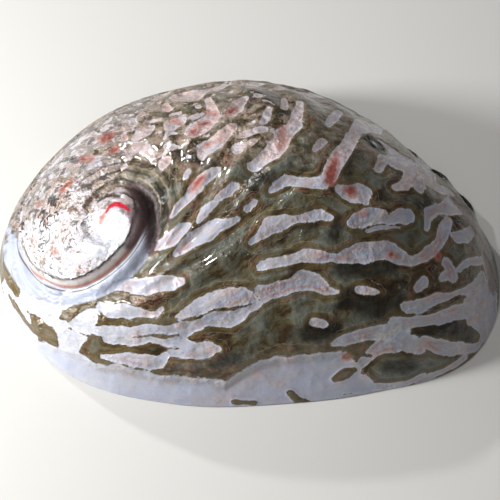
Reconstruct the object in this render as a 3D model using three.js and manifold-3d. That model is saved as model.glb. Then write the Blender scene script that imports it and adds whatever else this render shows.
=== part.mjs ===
// Polished abalone shell, lying on its rim with the spire to the left.
// Millimetres, +Z up, origin at the middle of the outline on the resting plane.
// The shell grew as one piece, so it is one solid: a low dome with a flattened spire, a groove and
// a ledge around the spire, growth folds, a row of pores, a hollow underside and a rim shelf.
import * as THREE from 'three';
import { mergeVertices } from 'three/addons/utils/BufferGeometryUtils.js';
import Module from 'manifold-3d';

// Dome: the crown stands over this point, and the rim is measured from its foot.
const CROWN_X = 8.8;
const CROWN_Y = -4.3;
const CROWN_HEIGHT = 47;
// Rim distance from the crown's foot, every 30 degrees anticlockwise from +X.
const RIM_RADII = [74, 63.9, 61, 65.2, 72.4, 84.5, 92, 82.6, 65.2, 56.7, 60.6, 75];
// Slope of the wall where it meets the rim, at the same directions, in degrees.
const FLANK_SLOPES = [70, 76, 84, 88, 88, 84, 76, 70, 66, 64, 64, 66];

// Wall: thickness at the crown, ground edge at the rim, and the shelf inside the rim.
const WALL_AT_CROWN = 3.4;
const GROUND_EDGE = 1.6;
const RIM_WIDTHS = [2.6, 2.8, 4.5, 8.5, 10.5, 9.5, 5.5, 2.8, 2.6, 2.6, 2.6, 2.6];
const SHELF_RISE = 0.3;
const EDGE_CHAMFER = 0.4;

// Spire: a cone-like whorl about a leaning axis. Angles run clockwise, the way the shell grew.
const APEX = new THREE.Vector3(-40.5, -13.8, 37.5);
const SPIRE_AXIS = new THREE.Vector3(-0.50, -0.12, 0.86).normalize();
// Distance of the suture from the axis, every 45 degrees from one turn before the axis's +X side.
const SUTURE_RADII = [5, 5.6, 6.3, 7.1, 8, 8.8, 9.3, 9.5, 9.6, 10.8, 16, 28, 40.8, 50, 60];
const SUTURE_START = -360;
// Outer border of the smooth ledge beside the suture, every 45 degrees from the +X side.
const LEDGE_RADII = [10.5, 14.8, 21.5, 33.5, 50.5, 64, 80];
const TABLE_STEP = 45;
const WHORL_ROUNDING = 0.24;
const WHORL_WIDTH_LIMIT = 15;
const DOMELET_RADIUS = 10.5;
const DOMELET_HEIGHT = 2.8;
const SUTURE_DEPTH = 0.7;
const SUTURE_WIDTH = 1.4;
const CREVICE_DEPTH = 3.1;
const CREVICE_INNER_WIDTH = 2.8;
const CREVICE_OUTER_WIDTH = 4.2;

// Growth folds follow the shell's former lips, each a smaller copy of the rim turned about the apex.
const LIP_START = -135;
const GROWTH_RATE = 0.62;
const FOLD_HEIGHT = 0.45;
const FOLD_STEP = 0.13;
const EARLIEST_LIP = 0.12;

// Pores: open ones at the right, then sealed ones, each with a mound on its outer side.
const OPEN_PORES = 4;
const SEALED_PORES = 7;
const PORE_FIRST_DIRECTION = 10;
const PORE_DIRECTION_STEP = 11.4;
const PORE_FIRST_REACH = 0.815;
const PORE_REACH_STEP = 0.028;
const PORE_LENGTH = 6.6;
const PORE_LENGTH_STEP = 0.6;
const PORE_SLIMNESS = 0.66;
const PORE_MOUND = 1.6;
const PORE_MOUND_RADIUS = 5.5;
const PORE_MOUND_SHIFT = 0.035;
const SEALED_DIMPLE = 1.1;
const SEALED_DIMPLE_RADIUS = 2.2;
const PORE_CUT_DEPTH = 14;

// Faceting: cells across the shell, closest over the spire.
const CELLS = 46;
const RIM_CELLS = 2;
const CROWDING_X = 0.2;
const CROWDING_Y = 0.17;
const CROWDED_X = -0.30;
const CROWDED_Y = -0.09;

const radians = THREE.MathUtils.degToRad;
const smooth = (from, to, x) => THREE.MathUtils.smoothstep(x, from, to);

// Value of a table at a place between its entries, on a curve through them.
function along(table, place, closed) {
  const count = table.length;
  const last = count - 1;
  const held = closed ? place : THREE.MathUtils.clamp(place, 0, last);
  const index = Math.floor(held);
  const pick = (i) => table[closed ? (((i % count) + count) % count) : THREE.MathUtils.clamp(i, 0, last)];
  const [before, here, next, after] = [index - 1, index, index + 1, index + 2].map(pick);
  const t = held - index;
  const slope = (next - before) * t;
  const bend = (2 * before - 5 * here + 4 * next - after) * t * t;
  const twist = (3 * here - before - 3 * next + after) * t * t * t;
  return 0.5 * (2 * here + slope + bend + twist);
}

const around = (table, angle) => along(table, (angle / (2 * Math.PI)) * table.length, true);

// Point of a plain dome. reach runs from 0 at the crown to 1 at the rim.
function domePoint(reach, angle, inset, height, foot) {
  const slope = radians(around(FLANK_SLOPES, angle));
  const out = (around(RIM_RADII, angle) - inset) * (Math.sin(reach * slope) / Math.sin(slope));
  const rise = (Math.cos(reach * slope) - Math.cos(slope)) / (1 - Math.cos(slope));
  return new THREE.Vector3(
    CROWN_X + out * Math.cos(angle),
    CROWN_Y + out * Math.sin(angle),
    foot + (height - foot) * rise,
  );
}

const outerDome = (u, v) => domePoint(Math.hypot(u, v), Math.atan2(v, u), 0, CROWN_HEIGHT, 0);

function outerNormal(u, v) {
  const step = 0.001;
  const across = outerDome(u + step, v).sub(outerDome(u - step, v));
  const up = outerDome(u, v + step).sub(outerDome(u, v - step));
  return across.cross(up).normalize();
}

// Axes of the spire's own plane.
const spireEast = new THREE.Vector3(1, 0, 0);
spireEast.addScaledVector(SPIRE_AXIS, -spireEast.dot(SPIRE_AXIS)).normalize();
const spireNorth = new THREE.Vector3().crossVectors(SPIRE_AXIS, spireEast);

function radiusTable(radii, start) {
  const logs = radii.map(Math.log);
  return (turn) => Math.exp(along(logs, (THREE.MathUtils.radToDeg(turn) - start) / TABLE_STEP, false));
}

const sutureRadius = radiusTable(SUTURE_RADII, SUTURE_START);
const ledgeRadius = radiusTable(LEDGE_RADII, 0);

// Distance from the spire's axis, and clockwise angle about it.
function spirePlace(point) {
  const offset = point.clone().sub(APEX);
  const east = offset.dot(spireEast);
  const north = offset.dot(spireNorth);
  return { radius: Math.hypot(east, north), turn: -Math.atan2(north, east) };
}

// Swell of the whorls, and of the small dome at their centre, over the plain dome.
function whorlRelief({ radius, turn }) {
  const oneTurn = 2 * Math.PI;
  const turns = [turn - oneTurn, turn, turn + oneTurn];
  const whorlTurn = turns.find((candidate) => sutureRadius(candidate) >= radius) ?? turns[0];
  const outside = Math.max(sutureRadius(whorlTurn), radius);
  const inside = sutureRadius(whorlTurn - oneTurn);
  const width = Math.max(outside - inside, 1);
  const across = THREE.MathUtils.clamp((radius - inside) / width, 0, 1);
  const rounding = Math.sin(Math.PI * across ** 0.85) ** 0.8;
  const merged = smooth(radians(190), radians(320), whorlTurn);
  const whorl = WHORL_ROUNDING * Math.min(width, WHORL_WIDTH_LIMIT) * rounding * (1 - merged);
  const domelet = DOMELET_HEIGHT * Math.max(0, 1 - (radius / DOMELET_RADIUS) ** 2);
  return whorl + domelet;
}

// Groove profile, steeper on the side towards the axis.
const groove = (offset, inner, outer) => Math.exp(-((offset / (offset < 0 ? inner : outer)) ** 2));

// Deep crevice between the small dome and the body, along the ledge's border.
function creviceRelief({ radius, turn }) {
  const opening = smooth(radians(-100), radians(0), turn);
  const closing = 1 - smooth(radians(70), radians(150), turn);
  const offset = radius - ledgeRadius(Math.max(turn, 0));
  return -CREVICE_DEPTH * opening * closing * groove(offset, CREVICE_INNER_WIDTH, CREVICE_OUTER_WIDTH);
}

// Fine line of the suture, between the spire and the ledge.
function sutureRelief({ radius, turn }) {
  let relief = 0;
  for (const candidate of [turn, turn + 2 * Math.PI]) {
    const begin = smooth(radians(-150), radians(-60), candidate);
    const fade = 1 - smooth(radians(205), radians(245), candidate);
    const line = groove(radius - sutureRadius(candidate), SUTURE_WIDTH, SUTURE_WIDTH);
    relief -= SUTURE_DEPTH * begin * fade * line;
  }
  return relief;
}

// Distance from the apex to the final rim in a plan direction.
const RIM_SAMPLES = 720;
const rimFromApex = (() => {
  const points = [];
  for (let i = 0; i < RIM_SAMPLES; i += 1) {
    const rim = domePoint(1, (2 * Math.PI * i) / RIM_SAMPLES, 0, CROWN_HEIGHT, 0).sub(APEX);
    points.push({ angle: Math.atan2(rim.y, rim.x), distance: Math.hypot(rim.x, rim.y) });
  }
  points.sort((a, b) => a.angle - b.angle);
  const even = [];
  for (let i = 0; i < RIM_SAMPLES; i += 1) {
    const angle = -Math.PI + (2 * Math.PI * i) / RIM_SAMPLES;
    const after = points.findIndex((p) => p.angle >= angle);
    even.push(points[after < 0 ? 0 : after].distance);
  }
  return (angle) => around(even, angle + Math.PI);
})();

// The former lip that a point lies on, as its size beside the final rim, and its place along it.
function formerLip(point) {
  const x = point.x - APEX.x;
  const y = point.y - APEX.y;
  const distance = Math.hypot(x, y);
  let direction = Math.atan2(y, x);
  if (direction < radians(LIP_START)) {
    direction += 2 * Math.PI;
  }
  let low = EARLIEST_LIP;
  let high = 1.2;
  for (let i = 0; i < 24; i += 1) {
    const size = (low + high) / 2;
    const place = direction + Math.log(size) / GROWTH_RATE;
    if (size * rimFromApex(place) < distance) {
      low = size;
    } else {
      high = size;
    }
  }
  return { size: low, place: direction + Math.log(low) / GROWTH_RATE };
}

// Low folds left by the growing lip, fading out on the spire.
function foldRelief(point) {
  const lip = formerLip(point);
  const onBody = smooth(radians(LIP_START), radians(LIP_START + 45), lip.place);
  const settled = smooth(0.25, 0.6, lip.size);
  return FOLD_HEIGHT * onBody * settled * Math.sin((2 * Math.PI * Math.log(lip.size)) / FOLD_STEP);
}

// Pores along a line that runs from the right end back towards the spire.
const pores = [];
for (let i = 0; i < OPEN_PORES + SEALED_PORES; i += 1) {
  const angle = radians(PORE_FIRST_DIRECTION + PORE_DIRECTION_STEP * i);
  const reach = PORE_FIRST_REACH - PORE_REACH_STEP * i;
  const u = reach * Math.cos(angle);
  const v = reach * Math.sin(angle);
  const length = PORE_LENGTH - PORE_LENGTH_STEP * Math.min(i, OPEN_PORES);
  const outward = 1 + PORE_MOUND_SHIFT / reach;
  const mound = outerDome(u * outward, v * outward);
  pores.push({ u, v, length, mound, open: i < OPEN_PORES, centre: outerDome(u, v) });
}

function poreRelief(point) {
  let relief = 0;
  for (const pore of pores) {
    const fit = pore.length / PORE_LENGTH;
    const fromMound = point.distanceTo(pore.mound);
    relief += PORE_MOUND * fit ** 2 * Math.exp(-((fromMound / (PORE_MOUND_RADIUS * fit)) ** 2));
    if (!pore.open) {
      const fromPore = point.distanceTo(pore.centre);
      relief -= SEALED_DIMPLE * Math.exp(-((fromPore / SEALED_DIMPLE_RADIUS) ** 2));
    }
  }
  return relief;
}

function outerPoint(u, v) {
  const point = outerDome(u, v);
  const held = 1 - smooth(0.9, 1, Math.hypot(u, v));
  const place = spirePlace(point);
  const spire = whorlRelief(place) + creviceRelief(place) + sutureRelief(place);
  const relief = spire + foldRelief(point) + poreRelief(point);
  return point.addScaledVector(outerNormal(u, v), relief * held);
}

// The inside follows the outside more softly, and starts from the shelf's inner edge.
const INSIDE_SHARE = 0.6;
function innerPoint(u, v) {
  const reach = Math.hypot(u, v);
  const angle = Math.atan2(v, u);
  const width = around(RIM_WIDTHS, angle);
  const foot = EDGE_CHAMFER + SHELF_RISE * (width - RIM_WIDTHS[0]);
  const point = domePoint(reach, angle, width, CROWN_HEIGHT - WALL_AT_CROWN, foot);
  const held = 1 - smooth(0.75, 0.95, reach);
  const place = spirePlace(outerDome(u, v));
  const relief = INSIDE_SHARE * held * (whorlRelief(place) + creviceRelief(place));
  return point.addScaledVector(outerNormal(u, v), relief);
}

// Flat edge that the shell rests on.
const groundEdgePoint = (u, v) => domePoint(1, Math.atan2(v, u), GROUND_EDGE, CROWN_HEIGHT, 0);

// A square of cells laid on the unit disc, its lines crowded over the spire.
function crowd(t, amount, centre) {
  return t - amount * (Math.sin(Math.PI * (t - centre)) - Math.sin(Math.PI * centre));
}

function discPlace(x, y) {
  const a = crowd(x, CROWDING_X, CROWDED_X);
  const b = crowd(y, CROWDING_Y, CROWDED_Y);
  return [a * Math.sqrt(1 - (b * b) / 2), b * Math.sqrt(1 - (a * a) / 2)];
}

// A flat box whose top becomes the outside, bottom the inside, and sides the rim.
function shellGeometry() {
  const geometry = new THREE.BoxGeometry(2, 2, 2, CELLS, CELLS, RIM_CELLS);
  const position = geometry.attributes.position;
  for (let i = 0; i < position.count; i += 1) {
    const [u, v] = discPlace(position.getX(i), position.getY(i));
    const level = position.getZ(i);
    const place = level > 0.5 ? outerPoint : level < -0.5 ? innerPoint : groundEdgePoint;
    const point = place(u, v);
    position.setXYZ(i, point.x, point.y, point.z);
  }
  return geometry;
}

// An oval cutter through the wall, its long side following the pore row.
function poreGeometry(pore, next) {
  const geometry = new THREE.CylinderGeometry(pore.length / 2, pore.length / 2, PORE_CUT_DEPTH, 20);
  geometry.scale(1, 1, PORE_SLIMNESS);
  const up = outerNormal(pore.u, pore.v);
  const along = next.centre.clone().sub(pore.centre);
  along.addScaledVector(up, -along.dot(up)).normalize();
  const side = new THREE.Vector3().crossVectors(along, up);
  geometry.applyMatrix4(new THREE.Matrix4().makeBasis(along, up, side).setPosition(pore.centre));
  return geometry;
}

const wasm = await Module();
wasm.setup();

function toSolid(geometry) {
  const plain = geometry.clone();
  plain.deleteAttribute('normal');
  plain.deleteAttribute('uv');
  const merged = mergeVertices(plain, 0.0001);
  return new wasm.Manifold(new wasm.Mesh({
    numProp: 3,
    vertProperties: new Float32Array(merged.attributes.position.array),
    triVerts: new Uint32Array(merged.index.array),
  }));
}

function toGeometry(solid) {
  const mesh = solid.getMesh();
  const geometry = new THREE.BufferGeometry();
  geometry.setAttribute('position', new THREE.BufferAttribute(new Float32Array(mesh.vertProperties), 3));
  geometry.setIndex(new THREE.BufferAttribute(new Uint32Array(mesh.triVerts), 1));
  return geometry;
}

let solid = toSolid(shellGeometry());
for (let i = 0; i < OPEN_PORES; i += 1) {
  solid = solid.subtract(toSolid(poreGeometry(pores[i], pores[i + 1])));
}

const nacre = new THREE.MeshStandardMaterial({ color: 0x9c968c, roughness: 0.18, metalness: 0 });
const shell = new THREE.Mesh(toGeometry(solid), nacre);
shell.name = 'shell';

const part = new THREE.Group();
part.add(shell);
export default part;
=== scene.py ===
"""Polished abalone shell on a pale studio floor, seen from above its longer side.

The shell is one piece. Its form is worked out in millimetres and written to the mesh in metres, in the
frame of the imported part: +Z up, the pores on the +Y side and the spire towards -X.
"""
import math
from types import SimpleNamespace

import bmesh
import bpy
import numpy as np
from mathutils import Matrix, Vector, noise


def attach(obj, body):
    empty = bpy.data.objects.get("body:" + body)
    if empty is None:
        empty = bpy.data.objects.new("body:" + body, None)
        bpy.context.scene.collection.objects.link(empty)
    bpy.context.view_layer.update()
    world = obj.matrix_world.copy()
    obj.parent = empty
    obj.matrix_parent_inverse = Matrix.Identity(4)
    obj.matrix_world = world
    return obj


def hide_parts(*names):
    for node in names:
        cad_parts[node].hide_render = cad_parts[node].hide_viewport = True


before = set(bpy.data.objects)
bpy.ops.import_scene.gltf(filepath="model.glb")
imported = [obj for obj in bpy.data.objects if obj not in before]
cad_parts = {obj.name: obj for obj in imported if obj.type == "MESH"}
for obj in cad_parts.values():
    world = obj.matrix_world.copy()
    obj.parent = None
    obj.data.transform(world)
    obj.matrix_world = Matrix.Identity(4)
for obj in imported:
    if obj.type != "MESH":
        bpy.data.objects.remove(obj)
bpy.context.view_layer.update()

bl_info = {
    "name": "Abalone shell",
    "version": (1, 0, 0),
    "blender": (4, 5, 0),
    "location": "3D View > Sidebar > Abalone",
    "description": "Builds a polished abalone shell and its studio",
    "category": "Add Mesh",
}

MM = 0.001
RANDOM_SEED = 11

# Dome: the crown stands over this point, and the rim is measured from its foot, every 30 degrees.
CROWN = np.array([8.8, -4.3])
CROWN_HEIGHT = 47.0
RIM_RADII = [74, 63.9, 61, 65.2, 72.4, 84.5, 92, 82.6, 65.2, 56.7, 60.6, 75]
FLANK_SLOPES = [70, 76, 84, 88, 88, 84, 76, 70, 66, 64, 64, 66]

# Wall: thickness at the crown, ground edge at the rim, and the shelf inside the rim.
WALL_AT_CROWN = 3.4
GROUND_EDGE = 1.6
ROUNDED_EDGE = 0.8
RIM_WIDTHS = [2.6, 2.8, 4.5, 8.5, 10.5, 9.5, 5.5, 2.8, 2.6, 2.6, 2.6, 2.6]
SHELF_RISE = 0.3
EDGE_CHAMFER = 0.4
EDGE_REACH = 0.99
INSIDE_SHARE = 0.6
OUTER_RELIEF_ENDS = (0.9, 1)
INNER_RELIEF_ENDS = (0.75, 0.95)
ROUNDING_STEPS = (0.25, 0.5, 0.75, 1.0)
INWARD_STEPS = (0.0, 0.35, 0.7)

# Spire: a whorl about a leaning axis. Angles about it run clockwise, the way the shell grew.
APEX = np.array([-40.5, -13.8, 37.5])
SPIRE_LEAN = np.array([-0.50, -0.12, 0.86])
SPIRE_AXIS = SPIRE_LEAN / np.linalg.norm(SPIRE_LEAN)
SUTURE_RADII = [5, 5.6, 6.3, 7.1, 8, 8.8, 9.3, 9.5, 9.6, 10.8, 16, 28, 40.8, 50, 60]
SUTURE_START = -360
LEDGE_RADII = [10.5, 14.8, 21.5, 33.5, 50.5, 64, 80]
TABLE_STEP = 45
WHORL_ROUNDING = 0.24
WHORL_WIDTH_LIMIT = 15
WHORL_LEAN = 0.85
WHORL_FULLNESS = 0.8
WORN_WHORLS = (7, 12)
DOMELET_RADIUS = 10.5
DOMELET_HEIGHT = 2.8
SUTURE_DEPTH = 0.7
SUTURE_WIDTH = 1.4
CREVICE_DEPTH = 3.1
CREVICE_INNER_WIDTH = 2.8
CREVICE_OUTER_WIDTH = 4.2
SHADE_WIDTHS = (4.2, 1.8)
SUTURE_GAP = 60
LEDGE_GAP = 90

# Turns about the axis, in degrees, between which each of these comes in or goes out.
WHORL_MERGES = (190, 320)
CREVICE_OPENS = (-100, 0)
CREVICE_CLOSES = (70, 150)
SHADE_BEGINS = (-110, -40)
SHADE_ENDS = (35, 85)
SUTURE_BEGINS = (-150, -60)
SUTURE_FADES = (205, 245)
SUTURE_MERGES = (200, 250)
ZONE_BEGINS = (165, 200)
ZONE_ENDS = (262, 300)

# Growth: each former lip is a smaller copy of the rim, turned about the apex.
LIP_START = -135
GROWTH_RATE = 0.62
FOLD_HEIGHT = 0.45
FOLD_STEP = 0.13
FOLD_BEGINS = (LIP_START, LIP_START + 45)
FOLD_SETTLES = (0.25, 0.6)
EARLIEST_LIP = 0.12
LATEST_LIP = 1.2
LIP_SEARCH_STEPS = 24

# Pores: open ones at the right, then sealed ones, each with a mound on its outer side.
OPEN_PORES = 4
SEALED_PORES = 7
PORE_FIRST_DIRECTION = 10
PORE_DIRECTION_STEP = 11.4
PORE_FIRST_REACH = 0.815
PORE_REACH_STEP = 0.028
PORE_LENGTH = 6.6
PORE_LENGTH_STEP = 0.6
PORE_SLIMNESS = 0.66
PORE_MOUND = 1.6
PORE_MOUND_RADIUS = 5.5
PORE_MOUND_SHIFT = 0.035
SEALED_DIMPLE = 1.1
SEALED_DIMPLE_RADIUS = 2.2

# Mesh: cells across the outside and the inside, closest over the spire.
OUTER_CELLS = 264
INNER_CELLS = 132
CROWDING = (0.2, 0.17)
CROWDED = (-0.30, -0.09)
SKIN_INSET = 0.12
PORE_LIP_SIZE = 1.2
PORE_LIP_STEPS = [(1.08, 0.12), (1.01, 0.22), (0.97, 0.4), (0.95, 0.7)]
PORE_REACH_OF_WALL = 9
OUTSIDE, EDGE, SHELF, INSIDE, PORE_WALL = range(5)
PIT_RAMP = 0.7
FAR_AWAY = 1e3

# Streaks where the photograph shows nothing: how many, how wide, and where they stop.
STREAKS_ACROSS = 8
STREAKS_ALONG = 1.6
# Each wave of noise has a height, a length, and a shift that sets it apart from the others.
STREAK_WAVES = [(1.0, 1.0, 3.0), (0.5, 0.5, 5.0)]
STREAK_SWELL = 6
STREAK_LIFT = 0.06
SEEN_FACING = (0.0, 0.25)
UNSEEN_STEP = 12

# Small pale flecks on the upper side: how wide, and how far from the drawn streaks.
FLECK_WAVES = [(1.0, 3.4, 7.0), (0.6, 1.7, 9.0)]
FLECK_SWELL = 2.6
FLECK_LIFT = -0.3
FLECK_STOP = 3
FLECK_GAP = 0.8

# Waves that roughen the edges of all the streaks.
BORDER_WAVES = [(0.45, 3.5, 1.0), (0.2, 1.3, 2.0)]

# The upper side begins and fades out between these places, in millimetres.
UPPER_SIDE_X = (0, 30)
UPPER_SIDE_Y = (-8, 6)
UPPER_SIDE_Z = (20, 30)
UPPER_SIDE_FADE = 0.6

# Eye-like scar beside the pores.
EYE = (41, 15)
EYE_DEPTH = 0.3
EYE_RING = 2.6
EYE_RING_WIDTH = 1.0

# Finish: noise scales in waves to the metre, strands and swirls to the unit of their coordinates.
CLOUD_SCALE = 60.0
GROUP_SCALE = 120.0
PATCH_SCALE = 160.0
DRIFT_SCALE = 190.0
LIP_DRIFT_SCALE = 230.0
MOTTLE_SCALE = 240.0
SEAM_SCALE = 330.0
FLECK_SCALE = 420.0
RED_SCALE = 500.0
BUBBLE_SCALE = 620.0
GRAIN_SCALE = 900.0
PEARL_CLOUD_SCALE = 38.0
PEARL_SWIRL_SCALE = 130.0
STRANDS_ACROSS = 95.0
STRANDS_ALONG = 9.0
LIP_DRIFT = 4.0
SWIRLS_OUTWARD = 0.32
SWIRLS_ROUND = 3.2
OLD_PART = (-0.02, -0.075)
SPIRE_METAL = 0.45
BUMP_DISTANCE = 0.0006
OUTSIDE_BUMP = 0.55
INSIDE_BUMP = 0.3
STRAND_OUTPUTS = ("Broad", "Strands", "Fine", "Grain")

# Sockets of a colour mix: its amount, the colour under and the colour over, and its result.
MIX_INPUTS = (0, 6, 7)
MIX_RESULT = 2

# Stage, with each light's place, size, and whether the polish reflects it.
KEY_LIGHT = ((-0.42, -0.07, 0.21), 0.10, True)
BACK_LIGHT = ((-0.30, 0.50, 0.42), 0.03, True)
GLINT_LIGHT = ((-0.25, -0.02, 0.50), 0.025, True)
FILL_LIGHT = ((0.2, -0.9, 0.9), 0.8, False)
CAMERA_ELEVATION = math.radians(55)
VIEW_BACK = np.array([0, -math.cos(CAMERA_ELEVATION), math.sin(CAMERA_ELEVATION)])
LOOK_AT = (0.0008, -0.0123, 0.015)
CAMERA_LENS = 100.44
CAMERA_SENSOR = 36.0
CAMERA_CLIP_START = 0.01
FLOOR_HALF_SIZE = 3.0
FLOOR_ROUGHNESS = 0.9
ROOM_COLOUR = (0.85, 0.85, 0.86, 1.0)

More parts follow.
